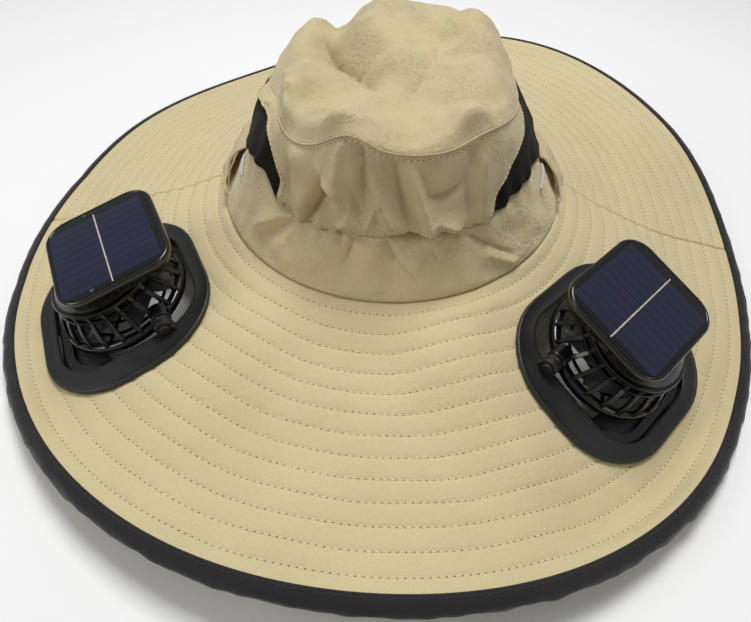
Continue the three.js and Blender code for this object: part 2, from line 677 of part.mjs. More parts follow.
function cage() {
  const ringInner = CAGE_RADIUS - CAGE_RING;
  const ringTop = cageBottom + CAGE_RING_HEIGHT;
  const middle = [
    ring([
      [ringInner, cageBottom],
      [CAGE_RADIUS, cageBottom],
      [CAGE_RADIUS, ringTop - 1.5],
      [CAGE_RADIUS - 1.5, ringTop],
      [ringInner, ringTop],
    ]),
    cylinder(CAGE_TOP_RADIUS, cageTop - CAGE_CAP, cageTop),
    cylinder(MOTOR_RADIUS, cageTop - CAGE_CAP - MOTOR_DEPTH, cageTop - CAGE_CAP / 2, 16),
    cylinder(GRILLE_HUB, cageBottom, cageBottom + GRILLE_BAR, 16),
  ];
  for (let index = 0; index < CAGE_BARS; index += 1) {
    middle.push(cageBar((2 * Math.PI * (index + 0.5)) / CAGE_BARS));
  }
  for (let index = 0; index < GRILLE_BARS; index += 1) {
    const bar = box(GRILLE_HUB - 1, ringInner + 1, -GRILLE_BAR / 2, GRILLE_BAR / 2, cageBottom, cageBottom + GRILLE_BAR);
    middle.push(bar.rotateZ((2 * Math.PI * index) / GRILLE_BARS));
  }
  const pieces = middle.map((piece) => piece.translate(-CAGE_INWARD, 0, 0));
  const earFrom = Math.sqrt((CAGE_RADIUS - CAGE_RING / 2) ** 2 - (HINGE_INWARD - CAGE_INWARD + EAR_RADIUS / 2) ** 2);
  for (const end of [-1, 1]) {
    const [from, to] = [earFrom * end, EAR_REACH * end].sort((a, b) => a - b);
    const [stubFrom, stubTo] = [(EAR_REACH - 1) * end, (EAR_REACH + LUG_WALL) * end].sort((a, b) => a - b);
    pieces.push(hingeRod(EAR_RADIUS, from, to, PIN_FACETS));
    pieces.push(hingeRod(STUB_RADIUS, stubFrom, stubTo, PIN_FACETS));
  }
  return join(pieces);
}

const rotorTop = cageTop - CAGE_CAP - MOTOR_DEPTH - GAP;

function rotor() {
  const pieces = [cylinder(HUB_RADIUS, rotorTop - HUB_HEIGHT, rotorTop, 16)];
  const root = HUB_RADIUS - 2;
  for (let index = 0; index < BLADE_COUNT; index += 1) {
    const blade = new THREE.BoxGeometry(BLADE_TIP - root, BLADE_CHORD, BLADE_SHEET);
    blade.rotateX(radians(BLADE_PITCH)).translate((root + BLADE_TIP) / 2, 0, rotorTop - HUB_HEIGHT / 2);
    pieces.push(blade.rotateZ((2 * Math.PI * index) / BLADE_COUNT));
  }
  return join(pieces).translate(-CAGE_INWARD, 0, 0);
}

function panelMatrix(fan) {
  const lean = new THREE.Euler(-fan.front * radians(PANEL_LEAN_FORWARD), -radians(PANEL_LEAN_INWARD), 0);
  return new THREE.Matrix4().makeRotationFromEuler(lean).setPosition(-PANEL_INWARD, 0, PANEL_TOP);
}

// Taper from a round foot on the cage to the underside of the panel
function housing(fan) {
  const matrix = panelMatrix(fan);
  const head = roundedOutline(PANEL_REACH - 2 * HOUSING_INSET, PANEL_SPAN - 2 * HOUSING_INSET, PANEL_CORNER);
  const outline = head.getPoints(CORNER_FACETS);
  outline.pop();
  const foot = outline.map(({ x, y }) => {
    const angle = Math.atan2(y, x);
    const reach = HOUSING_FOOT * Math.cos(angle) - CAGE_INWARD;
    return vector(reach, HOUSING_FOOT * Math.sin(angle), cageTop + GAP);
  });
  const shoulder = outline.map(({ x, y }) => vector(x, y, -PANEL_DEPTH - GAP).applyMatrix4(matrix));
  return loft([foot, shoulder], false);
}

function panel() {
  const outline = roundedOutline(PANEL_REACH, PANEL_SPAN, PANEL_CORNER);
  const recessReach = PANEL_REACH - 2 * PANEL_BORDER;
  const recessSpan = PANEL_SPAN - 2 * PANEL_BORDER;
  const recess = roundedOutline(recessReach, recessSpan, PANEL_CORNER - PANEL_BORDER);
  const under = roundedOutline(PANEL_REACH - 3, PANEL_SPAN - 3, PANEL_CORNER - 1.5);
  const body = join([
    roundedPlate(outline, null, -PANEL_DEPTH * 0.72, 0),
    roundedPlate(under, null, -PANEL_DEPTH, -PANEL_DEPTH * 0.6),
  ]);
  return cut(body, [roundedPlate(recess, null, -CELL_DEPTH, 1)]);
}

function cell() {
  const reach = PANEL_REACH - 2 * PANEL_BORDER - 2 * GAP;
  const span = PANEL_SPAN - 2 * PANEL_BORDER - 2 * GAP;
  const outline = roundedOutline(reach, span, PANEL_CORNER - PANEL_BORDER - GAP);
  const bottom = GAP - CELL_DEPTH;
  return roundedPlate(outline, null, bottom, bottom + CELL_SHEET);
}

// Scene

const hat = new THREE.Group();

function piece(parent, name, geometry, material) {
  const mesh = new THREE.Mesh(geometry, material);
  mesh.name = name;
  parent.add(mesh);
  return mesh;
}

const leaned = new THREE.Group();
leaned.rotation.copy(restLean);
hat.add(leaned);

piece(leaned, 'brim_front', cut(brimHalf(Math.PI, 2 * Math.PI), fanHoleTools()), cloth);
piece(leaned, 'brim_back', brimHalf(0, Math.PI), cloth);

const rimLoops = Array.from({ length: BRIM_COLUMNS }, (_, column) => (
  bindingLoop((2 * Math.PI * column) / BRIM_COLUMNS)
));
piece(leaned, 'brim_binding', loft(rimLoops, true), bindingCloth);

piece(leaned, 'crown_band', crownBand(), cloth);
piece(leaned, 'crown_front', crownPanel(VENT_EDGES.leftFront, VENT_EDGES.rightFront, 0), cloth);
piece(leaned, 'crown_back', crownPanel(VENT_EDGES.rightBack, VENT_EDGES.leftBack, 0), cloth);
piece(leaned, 'vent_left', crownPanel(VENT_EDGES.leftBack, VENT_EDGES.leftFront, 0), ventMesh);
piece(leaned, 'vent_right', crownPanel(VENT_EDGES.rightFront, VENT_EDGES.rightBack, 1), ventMesh);
piece(leaned, 'crown_top', crownTop(), cloth);

piece(leaned, 'side_loop_left', sideLoop(Math.PI, 1), cloth);
piece(leaned, 'side_loop_right', sideLoop(0, -1), cloth);
piece(leaned, 'loop_piping_left', pipingStrip(Math.PI, 1), piping);
piece(leaned, 'loop_piping_right', pipingStrip(0, -1), piping);

FANS.forEach((fan, index) => {
  const unit = new THREE.Group();
  unit.applyMatrix4(seats[index].matrix);
  leaned.add(unit);
  piece(unit, `fan_${fan.side}_bezel`, bezel(), mattPlastic);
  piece(unit, `fan_${fan.side}_clamp`, clampRing(), mattPlastic);
  piece(unit, `fan_${fan.side}_cage`, cage(), glossPlastic);
  piece(unit, `fan_${fan.side}_rotor`, rotor(), bladePlastic);
  piece(unit, `fan_${fan.side}_housing`, housing(fan), mattPlastic);
  const top = new THREE.Group();
  top.applyMatrix4(panelMatrix(fan));
  unit.add(top);
  piece(top, `fan_${fan.side}_panel`, panel(), glossPlastic);
  piece(top, `fan_${fan.side}_cell`, cell(), solarCell);
});

// The origin lies on the floor below the middle of the whole hat
hat.updateMatrixWorld(true);
const bounds = new THREE.Box3().setFromObject(hat, true);
const middle = bounds.getCenter(vector(0, 0, 0));
hat.position.set(-middle.x, -middle.y, -bounds.min.z);

export default hat;
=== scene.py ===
import math

import bmesh
import bpy
import numpy as np
from mathutils import Matrix, Vector


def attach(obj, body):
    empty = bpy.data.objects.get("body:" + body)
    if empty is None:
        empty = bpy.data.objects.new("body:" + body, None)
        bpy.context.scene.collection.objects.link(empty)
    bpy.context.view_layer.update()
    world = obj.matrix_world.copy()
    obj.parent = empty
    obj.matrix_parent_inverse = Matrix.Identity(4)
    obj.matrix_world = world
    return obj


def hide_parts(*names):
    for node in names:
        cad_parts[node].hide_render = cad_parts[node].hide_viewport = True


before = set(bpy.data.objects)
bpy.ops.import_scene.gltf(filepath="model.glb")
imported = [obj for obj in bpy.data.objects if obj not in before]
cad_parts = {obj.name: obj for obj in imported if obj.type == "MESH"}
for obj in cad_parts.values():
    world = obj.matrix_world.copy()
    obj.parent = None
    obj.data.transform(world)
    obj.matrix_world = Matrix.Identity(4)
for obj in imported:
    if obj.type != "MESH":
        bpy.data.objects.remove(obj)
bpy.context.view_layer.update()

bl_info = {
    "name": "Solar fan hat",
    "version": (1, 0, 0),
    "blender": (4, 5, 0),
    "location": "View3D > Sidebar > Hat",
    "description": "Cloth, stitching, vents, fans and solar panels of a wide fan hat",
    "category": "Object",
}

MM = 0.001
SIDES = ("left", "right")

# The hat's shape, in millimetres about the middle of the seam where the crown meets the brim
HALF_WIDTH = 98.0
HALF_DEPTH = 105.0
BRIM_REACH = 132.0
BRIM_CLOTH = 2.6
CROWN_HEIGHT = 85.0
CROWN_CLOTH = 2.0

# Slope of the brim in degrees, at every 30 degrees of azimuth
BRIM_FALL = {
    "inner": (37, 23, 14, 18, 24, 24, 26, 21, 19, 22, 26, 35),
    "outer": (11, 3, 0, 5, 11, 11, 13, 9, 0, -6, 6, 15),
}

# Levels of the crown, as shares of its width, depth and height
CROWN_LEVELS = {
    "width": (1, 0.816, 0.79, 0.715),
    "front": (1, 0.886, 0.85, 0.8),
    "back": (1, 0.886, 0.85, 0.81),
    "side_height": (0, 0.26, 0.45, 0.61),
    "front_height": (0, 0.38, 0.61, 0.85),
    "back_height": (0, 0.33, 0.46, 0.59),
}

# Edges of the vents: azimuth in degrees at even steps from the gathers up to the top seam
VENT_EDGES = {
    "left_front": (227, 228, 227, 212, 166),
    "left_back": (135, 139, 146, 157, 164),
    "right_front": (305, 307, 317, 334, 350),
    "right_back": (45, 43, 40, 36, 30),
}

# Fans: azimuth in degrees, place across the brim as a share, which way their front faces, and how far each is
# tipped forward, tipped outward and twisted, in degrees
FANS = {
    "left": {"azimuth": 212, "share": 0.53, "front": 1, "forward": 0, "outward": 1.7, "twist": -1.5},
    "right": {"azimuth": 316, "share": 0.485, "front": -1, "forward": 3.6, "outward": 3.6, "twist": -2.2},
}

# Frames in the brim: reach away from the crown, span round it and corner radius, then collar, clamp and lip
BEZEL = (93.0, 109.0, 39.0)
OPENING = (76.0, 74.0, 21.0)
COLLAR_WALL = 1.8
COLLAR_DEPTH = 5.6
COLLAR_STEPS = (2, 6)
CLAMP_WIDTH = 6.0
CLAMP_DEPTH = 2.0
LIP = 5.0
LEDGE_RADIUS = 31.4
FLAT_MARGIN = 12.0
EASE_MARGIN = 60.0
FLAT_PAST_BEZEL = 4.0
OPENING_MARGIN = 1.6
STITCH_MARGIN = 1.2

# How the hat rests on the table
REST_PITCH = 1.5
REST_ROLL = -2.3
REST_FLATTEN = 2.6
REST_BLEND = 0.6
SEAM_CENTRE = (0.1217, -0.5171, 56.4767)
GAP = 0.3

# Cloth of the crown
CROWN_RADIUS = 84.0
CROWN_SKIN = CROWN_CLOTH - 0.4
VENT_SKIN = 1.0
WALL_RISE = 38.0
SEAM_LEVEL = 1.995
FOLD_STRENGTH = 1.45

# How far the cloth stands out of its even shape, and where
FIRST_RING = 5.1
RING_GROOVE = 0.9
RING_FULLNESS = 0.14
BRIM_SWAY = 0.45
BRIM_PUCKER = 0.055
BRIM_SKIN_DROP = 0.05
BRIM_SKIN = BRIM_CLOTH - 0.1
HALF_SEAM_GAP = 0.00045
HALF_SEAM_DEPTH = 0.5
GATHER_DEPTH = 1.1
GATHER_BULGE = 1.9
GATHER_GROOVE = 0.7
BAND_TUCK = 2.6
WALL_UNEVEN = 0.35
TOP_ROLL = 1.6
TOP_UNEVEN = 0.3
TOP_SWELL = 0.4
ROLLED_EDGE = 0.55
BINDING_WAVE = 0.22
BINDING_STITCH = 0.0028
CROWN_STITCH = 0.0027

# How finely the cloth is divided
BRIM_COLUMNS = 420
BINDING_COLUMNS = 720
BAND_COLUMNS = 540
TOP_COLUMNS = 360
WALL_GRID = (190, 52)
VENT_GRID = (130, 40)

# The top seam of the crown against an even line: azimuth in degrees, how far it rises and how far it comes in
SEAM_SHIFT = (
    (0, 5, 6), (30, 4, 3), (75, 0, 0), (110, 2, 0), (150, 0, 0), (165, 2, 1), (178, 5, 4), (190, 9, 8),
    (203, 11, 10), (212, 10, 7), (220, 8, 2), (226, 3, 0), (233, 0, 0), (241, 1, 0), (247, 4, 0), (252, 8, 0),
    (258, 8, 0), (263, 4, 0), (268, 0, 0), (280, -1.5, 0), (292, 0, 0), (300, 5, 0), (306, 8, 0), (318, 9, 1),
    (330, 9, 3), (345, 8, 6),
)

# How far the line of gathers rises beside the vents, by azimuth in degrees
GATHER_RISE = (
    (0, 0), (188, 4), (207, 19), (220, 17), (226, 6), (231, 0), (300, 0), (308, 0), (316, 4), (326, 8),
    (338, 12), (352, 2),
)

# Folds of the crown's wall and band: from and to an azimuth and a level, how far they stand out and how
# wide they are. The band runs from level 0 to 1, the wall from 1 to 2.
WALL_FOLDS = (
    (180, 1.88, 200, 1.87, 3.8, 8.0),
    (246, 1.62, 246, 1.40, -4.0, 2.6),
    (246, 1.40, 240, 1.04, -5.0, 2.4),
    (234, 1.80, 240, 1.16, 3.0, 5.0),
    (230, 1.66, 232, 1.12, -3.0, 3.6),
    (245, 1.74, 248, 1.58, 2.4, 2.2),
    (248, 1.58, 252, 1.50, 2.4, 2.2),
    (252, 1.50, 250, 1.36, 1.6, 2.2),
    (250, 1.40, 244, 1.18, -2.6, 2.6),
    (253, 1.96, 252, 1.64, 2.6, 4.0),
    (252, 1.64, 255, 1.06, 2.2, 3.6),
    (260, 1.94, 262, 1.44, -3.4, 4.0),
    (258, 1.46, 262, 1.10, -1.8, 3.0),
    (266, 1.46, 262, 1.08, 2.2, 2.6),
    (264, 1.68, 272, 1.12, 3.2, 2.6),
    (272, 1.84, 277, 1.08, -4.2, 4.6),
    (278, 1.78, 281, 1.40, 3.4, 3.6),
    (281, 1.40, 284, 1.10, 2.8, 3.0),
    (281, 1.84, 283, 1.52, -2.0, 3.0),
    (286, 1.22, 294, 1.08, 2.8, 3.0),
    (284, 1.48, 290, 1.50, -2.2, 2.0),
    (290, 1.50, 296, 1.60, -2.2, 2.2),
    (300, 2.00, 300, 1.74, -2.2, 2.6),
    (304, 1.74, 302, 1.10, 2.2, 4.0),
    (297, 1.68, 298, 1.12, -2.0, 3.0),
    (233, 1.00, 238, 1.02, 1.6, 1.6),
    (229, 1.08, 234, 0.98, -2.2, 1.6),
    (270, 1.00, 284, 0.98, -3.2, 1.3),
    (274, 1.08, 283, 1.08, 1.8, 2.0),
    (288, 1.00, 294, 0.94, -2.6, 1.3),
    (297, 0.92, 304, 0.62, -2.4, 1.6),
    (304, 0.62, 312, 0.28, -2.0, 1.8),
    (304, 0.48, 311, 0.18, 1.8, 3.0),
    (269, 0.92, 272, 0.70, -1.8, 1.6),
    (272, 0.70, 278, 0.38, -1.4, 2.0),
    (251, 1.14, 256, 1.20, 1.8, 1.5),
    (256, 1.20, 257, 1.04, 1.8, 1.5),
    (257, 1.04, 256, 0.86, 1.4, 1.5),
    (254, 1.08, 254, 0.90, -1.6, 1.5),
    (258, 0.94, 257, 0.62, -1.8, 1.6),
    (235, 0.96, 224, 0.24, -2.6, 2.2),
    (230, 0.90, 221, 0.38, 1.8, 2.4),
    (236, 0.92, 234, 0.54, 1.4, 3.0),
    (258, 0.94, 269, 0.92, -1.0, 1.2),
    (283, 0.84, 286, 0.64, -1.2, 2.2),
    (60, 1.85, 66, 1.10, -3.2, 5.0),
    (84, 1.80, 80, 1.12, 2.4, 5.5),
    (100, 1.90, 104, 1.08, -3.0, 5.0),
    (122, 1.75, 117, 1.10, -2.0, 4.0),
    (75, 0.97, 71, 0.45, -1.6, 2.2),
    (108, 0.97, 112, 0.50, -1.4, 2.2),
    (150, 0.96, 158, 0.55, -1.2, 2.2),
    (28, 0.96, 20, 0.50, -1.2, 2.2),
)

# Heights of the slumped top: x, y and z
TOP_FORM = (
    (-54, 2, 72.5), (-54, 26, 72), (-46, 41, 73), (-38, 38, 74), (-43, 13, 76.5), (-42, -12, 76.5),
    (-31, 52, 62), (-29, 36, 68), (-34, 15, 66), (-26, 5, 65), (-19, -4, 66), (-13, -17, 68),
    (-8.5, -27, 70.5), (-22, 26, 79), (-23, 46, 74), (-14, 57, 77), (-12, 8, 78), (-3, -14, 78),
    (8, 57, 76), (5, 26, 80), (20, 30, 79.5), (30, 55, 73.5), (40, 50, 71), (52, 41, 70),
    (57, 32, 68.5), (28, 12, 76.5), (19, -10, 76), (12, -30, 74.5), (6, -47, 73), (50, 18, 80),
    (46, -6, 79), (40, -28, 77.5), (54, -22, 73.5), (57, 5, 74), (33, -68, 79.5), (40, -62, 78.5),
    (24, -66, 74.5), (4, -72, 72), (15, -62, 72.5), (25, -48, 74.5), (-2, -50, 73), (-27.5, -72.5, 80),
    (-20, -73.5, 80.5), (-13.5, -71, 80), (-22, -58, 75), (-40, -43, 71.5), (-30, -33, 73.5),
    (-38, -62, 74), (-50, -56, 72.5), (-52, -44, 75), (-52, -31, 76.5), (-48, -18, 77),
)

# Folds of the crown's top, in plan: from, to, how far they rise and how wide they are
TOP_FOLDS = (
    (-35, 18, -29, 9, -7.0, 2.6),
    (-29, 9, -18, -5, -5.6, 2.6),
    (-18, -5, -9, -27, -4.4, 2.6),
    (-38.5, 21, -34, 9, 3.2, 2.4),
    (-29, -74, -13, -74, 4.4, 2.2),
    (32, -69, 43, -62, 3.4, 2.2),
    (-49, -57, -52, -30, 3.0, 2.6),
    (36, 42, 8, -44, -2.2, 4.0),
    (-49, 8, -45, -11, -1.2, 2.0),
    (55, -12, 47, 0, -1.2, 2.0),
    (58, -30, 50, -22, -1.0, 1.8),
    (-14, 50, -4, 22, 1.0, 3.0),
)

# Flap loops at the sides: shares of the band's height, how far they stand off it, and the front mouth in
# degrees before the side
LOOP_STAND = 4.6
LOOP_CLOTH = 1.2
LOOP_BACK = 10.0
LOOP_HEIGHT = (0.2, 0.34, 0.52, 0.74, 0.9, 0.98)
LOOP_OFF = (0.04, 0.6, 1, 1, 0.7, 0.04)
LOOP_FRONT = (18, 15, 12, 10, 9, 8)
PIPING_WIDTH = 2.4
PIPING_HEIGHT = (0.93, 0.84, 0.76, 0.68)
PIPING_FRONT = (16, 19, 22, 25)

# Fan, in its own frame: x away from the crown, y round it, z up from the cloth
CAGE_INWARD = 2.0
CAGE_RADIUS = 35.0
CAGE_SEAT = 0.5
CAGE_TOP_RADIUS = 28.0
CAGE_HEIGHT = 23.0
CAGE_CAP = 1.8
MOTOR_RADIUS = 9.0
MOTOR_DEPTH = 5.0
HINGE_INWARD = 18.0
HINGE_RISE = 7.0
EAR_REACH = 35.6
EAR_RADIUS = 5.0
PIN_RADIUS = 3.2
LUG_WALL = 6.0
LUG_RADIUS = 4.6
LUG_CAP_RADIUS = 2.6
CLIP_HALF_WIDTH = 1.1
HUB_RADIUS = 8.5
HUB_HEIGHT = 7.5
BLADE_TIP = 28.5
BLADE_TAPER = 0.15
BLADE_CHORD = 30.0
BLADE_PITCH = 24.0
BLADE_DROP = 3.0
PANEL = (58.0, 63.5, 13.0)
PANEL_DEPTH = 8.0
PANEL_TOP = 37.5
PANEL_INWARD = 13.5
PANEL_LEAN_FORWARD = 2.4
PANEL_LEAN_INWARD = 3.0
PANEL_RIM = 2.0
CELL_DEPTH = 0.5
CELL = (50.0, 50.4)
CELL_OFFSET = {"left": (1.4, 1.0), "right": (0.0, -1.1)}
PANEL_DOTS = {"left": ((6.0, -28.2), (11.8, 27.4)), "right": ()}
PANEL_DOT = 1.1
CELL_STRIPS = 10
CELL_FINGERS = 52
BUSBAR = 0.62
HOUSING_FOOT = 26.0
HOUSING_INSET = 3.2
RIB_COUNT = 22
RIB_WIDTH = 2.3
RIB_DEPTH = 2.2
GRILLE_RADII = (15.0, 23.0)
BLADE_COUNT = 6
BLADE_ROOT_CHORD = 9.0
BLADE_TWIST = 8.0
BLADE_HALF_THICKNESS = 0.62
BLADE_CAMBER = 0.7
BLADE_SECTION = ((-1, -0.2), (-0.5, -1), (0.5, -1), (1, -0.2), (1, 0.2), (0.5, 1), (-0.5, 1), (-1, 0.2))

# Frame of a fan, from the mouth up over the top and down its outer side: distance from the edge, and height
MOUTH_STEPS = ((0, 1.6), (0.2, 2.2), (0.6, 2.5), (1.2, 2.6))
RIM_STEPS = (
    (1.7, 2.6), (1.35, 2.85), (0.9, 2.95), (0.45, 2.85), (0.1, 2.5), (0, 2.0), (0, 0.9), (0.35, GAP),
    (5, GAP),
)

# Binding in section, as shares of its reach and its drop
BINDING_SECTION = (
    (-0.16, -0.03), (0.02, -0.075), (0.2, -0.05), (0.4, 0.0), (0.58, 0.08), (0.76, 0.2), (0.9, 0.38),
    (0.98, 0.6), (0.98, 0.8), (0.88, 0.95), (0.7, 1.0), (0.5, 0.9), (0.3, 0.74), (0.1, 0.62), (-0.1, 0.56),
    (-0.2, 0.3),
)

# Colours that mix into the finishes
DUST_COLOUR = (0.30, 0.28, 0.24, 1)
FINGER_COLOUR = (0.019, 0.022, 0.050, 1)
STRIP_GAP_COLOUR = (0.0015, 0.0015, 0.004, 1)
CELL_BORDER_COLOUR = (0.003, 0.003, 0.003, 1)
BUSBAR_COLOUR = (0.52, 0.47, 0.38, 1)

# Cloth as it was cut: width, length, area in square millimetres where it isn't a rectangle, how it is held,
# and what it rests on
CUTS = {
    "brim_front_cloth": (460, 237, 58200, "stretched", "brim_binding"),
    "brim_back_cloth": (460, 237, 69500, "stretched", "brim_binding"),
    "brim_binding_cloth": (1460, 15, None, "folded", "brim_front"),
    "crown_band_cloth": (640, 36, None, "gathered", "brim_front"),
    "crown_front_cloth": (165, 50, None, "gathered", "crown_band"),
    "crown_back_cloth": (130, 38, None, "gathered", "crown_band"),
    "vent_left_mesh": (90, 39, None, "stretched", "crown_band"),
    "vent_right_mesh": (110, 40, None, "stretched", "crown_band"),
    "crown_top_cloth": (170, 185, 24700, "draped", "crown_front"),
    "side_loop_left_cloth": (44, 26, None, "folded", "crown_band"),
    "side_loop_right_cloth": (44, 26, None, "folded", "crown_band"),
}

# Camera, from the same middle as the hat
CAMERA_AZIMUTH = 2.6
CAMERA_ELEVATION = 48.3
CAMERA_ROLL = -0.4
CAMERA_EYE = (3.69, -311.18, 226.82)
CAMERA_LENS = 30.21

# Lights: the setting that gives its strength, its place and its size in metres
LIGHTS = {
    "key_light": ("key", (0.05, 0.22, 1.22), 0.5),
    "left_light": ("fill", (-1.0, -0.45, 0.75), 0.5),
    "left_rim_light": ("rim", (-0.86, -0.23, 0.56), 0.14),
    "right_rim_light": ("rim", (0.77, -0.45, 0.56), 0.14),
}


class HatSizes(bpy.types.PropertyGroup):
    """Sizes of the stitching and the binding"""

    ring_pitch: bpy.props.FloatProperty(
        name="Ring pitch", description="Distance between two rings of stitching", default=0.010, unit="LENGTH"
    )
    stitch_pitch: bpy.props.FloatProperty(
        name="Stitch pitch", description="Distance from stitch to stitch", default=0.0032, unit="LENGTH"
    )
    stitch_length: bpy.props.FloatProperty(
        name="Stitch length", description="Length of thread that shows", default=0.0022, unit="LENGTH"
    )
    thread: bpy.props.FloatProperty(
        name="Thread", description="Width of the sewing thread", default=0.00055, unit="LENGTH"
    )
    hole: bpy.props.FloatProperty(
        name="Needle hole", description="Width of a needle hole", default=0.00085, unit="LENGTH"
    )
    quilting: bpy.props.FloatProperty(
        name="Quilting", description="Depth of the grooves along the rings", default=0.00055, unit="LENGTH"
    )
    binding_roll: bpy.props.FloatProperty(
        name="Binding", description="How far the binding stands out", default=0.0064, unit="LENGTH"
    )
    binding_drop: bpy.props.FloatProperty(
        name="Binding drop", description="How far the binding hangs down", default=0.006, unit="LENGTH"
    )


def colour_property(name, description, default):
    return bpy.props.FloatVectorProperty(
        name=name, description=description, subtype="COLOR", size=3, default=default
    )


class HatColours(bpy.types.PropertyGroup):
    """Colours of the cloth and the plastic"""

    brim: colour_property("Brim", "Brim cloth", (0.64, 0.545, 0.315))
    crown: colour_property("Crown", "Crown cloth", (0.565, 0.475, 0.278))
    thread: colour_property("Thread", "Sewing thread", (0.80, 0.73, 0.50))
    hole: colour_property("Needle hole", "Shade in a needle hole", (0.20, 0.16, 0.075))
    binding: colour_property("Binding", "Edge binding", (0.020, 0.018, 0.018))
    piping: colour_property("Piping", "Strips that come out of the side loops", (0.55, 0.55, 0.53))
    mesh: colour_property("Vent mesh", "Side vents", (0.0075, 0.0058, 0.0038))
    matte: colour_property("Matte plastic", "Fan frames and housings", (0.017, 0.0165, 0.016))
    gloss: colour_property("Gloss plastic", "Fan guards and panel rims", (0.006, 0.006, 0.0062))
    blade: colour_property("Blade", "Fan blades", (0.085, 0.085, 0.09))
    metal: colour_property("Metal", "Studs on the panel's border", (0.05, 0.05, 0.052))
    cell: colour_property("Solar cell", "Solar cell", (0.009, 0.0095, 0.031))


class StageSettings(bpy.types.PropertyGroup):
    """Floor and light"""

    floor: colour_property("Floor", "Floor colour", (0.94, 0.94, 0.94))
    key: bpy.props.FloatProperty(
        name="Key", description="Strength of the overhead light", default=11.0, unit="POWER"
    )
    fill: bpy.props.FloatProperty(
        name="Fill", description="Strength of the light at the left", default=2.3, unit="POWER"
    )
    rim: bpy.props.FloatProperty(
        name="Rim", description="Strength of each small light at the sides", default=0.4, unit="POWER"
    )
    sky: bpy.props.FloatProperty(name="Sky", description="Strength of the even light", default=0.27)


# Shape of the cloth


def fall_at(column, azimuth):
    """Slope of the brim at an azimuth, on a smooth curve through the measured ones."""
    values = np.radians(np.array(BRIM_FALL[column], float))
    count = len(values)
    place = np.mod(azimuth / (2 * math.pi), 1) * count
    index = np.floor(place).astype(int)
    share = place - index
    before, here, after, beyond = (values[(index + step) % count] for step in (-1, 0, 1, 2))
    start, end, rise = (after - before) / 2, (beyond - here) / 2, after - here
    cubic = start + end - 2 * rise
    square = 3 * rise - 2 * start - end
    return here + share * (start + share * (square + share * cubic))


def oval_outward(azimuth):
    """Level direction out of the crown's base oval."""
    out = np.stack([np.cos(azimuth) / HALF_WIDTH, np.sin(azimuth) / HALF_DEPTH, np.zeros_like(azimuth)], -1)
    return out / np.linalg.norm(out, axis=-1, keepdims=True)


def smooth(value, low, high):
    """0 below low, 1 above high, and an even ease between them."""
    share = np.clip((value - low) / (high - low), 0, 1)
    return share * share * (3 - 2 * share)


def free_brim_point(azimuth, along):
    """A point of the brim as it would hang with no fans and no table, from its distance out of the seam."""
    azimuth, along = np.broadcast_arrays(np.asarray(azimuth, float), np.asarray(along, float))
    point = np.stack([HALF_WIDTH * np.cos(azimuth), HALF_DEPTH * np.sin(azimuth), np.zeros_like(azimuth)], -1)
    inner = fall_at("inner", azimuth)
    end = inner + (fall_at("outer", azimuth) - inner) * along / BRIM_REACH
    middle = (inner + end) / 2
    reach = along * (np.cos(inner) + 4 * np.cos(middle) + np.cos(end)) / 6
    drop = along * (np.sin(inner) + 4 * np.sin(middle) + np.sin(end)) / 6
    flat = along < 0
    point = point + oval_outward(azimuth) * np.where(flat, along, reach)[..., None]
    point[..., 2] -= np.where(flat, 0, drop)
    return point


def turn_about(axis, angle):
    return np.array(Matrix.Rotation(angle, 3, Vector(axis)))


def seat_of(fan):
    """Origin and axes of a fan on the free brim."""
    azimuth, along, step = math.radians(fan["azimuth"]), fan["share"] * BRIM_REACH, 1.0
    turn = step / BRIM_REACH
    origin = free_brim_point(azimuth, along)
    outward = free_brim_point(azimuth, along + step) - free_brim_point(azimuth, along - step)
    outward = outward / np.linalg.norm(outward)
    around = free_brim_point(azimuth + turn, along) - free_brim_point(azimuth - turn, along)
    upright = np.cross(outward, around)
    upright = upright / np.linalg.norm(upright)
    normal = upright + np.cross(upright, outward) * fan["front"] * math.tan(math.radians(fan["forward"]))
    normal = normal + outward * math.tan(math.radians(fan["outward"]))
    normal = normal / np.linalg.norm(normal)
    level = outward - normal * outward.dot(normal)
    reach_axis = turn_about(normal, math.radians(fan["twist"])) @ (level / np.linalg.norm(level))
    return {"origin": origin, "axes": np.stack([reach_axis, np.cross(normal, reach_axis), normal], 1)}


SEATS = {side: seat_of(fan) for side, fan in FANS.items()}
HELD_ALONG = BRIM_REACH * max(fan["share"] for fan in FANS.values()) + BEZEL[0] / 2 + FLAT_PAST_BEZEL
LEAN = turn_about((1, 0, 0), math.radians(REST_PITCH)) @ turn_about((0, 1, 0), math.radians(REST_ROLL))
REST_UP = LEAN.T @ np.array((0.0, 0.0, 1.0))
BRIM_EDGE = free_brim_point(np.linspace(0, 2 * math.pi, 60, endpoint=False), BRIM_REACH)
LOWEST_EDGE = float((BRIM_EDGE @ REST_UP).min())


def outside_outline(local, shape):
    """How far a place in a fan's frame lies outside a rounded rectangle, less than 0 inside it."""
    reach = np.abs(local[..., 0]) - shape[0] / 2 + shape[2]
    span = np.abs(local[..., 1]) - shape[1] / 2 + shape[2]
    beyond = np.hypot(np.maximum(reach, 0), np.maximum(span, 0))
    return beyond + np.minimum(np.maximum(reach, span), 0) - shape[2]


def in_seat(points, seat):
    return (points - seat["origin"]) @ seat["axes"]


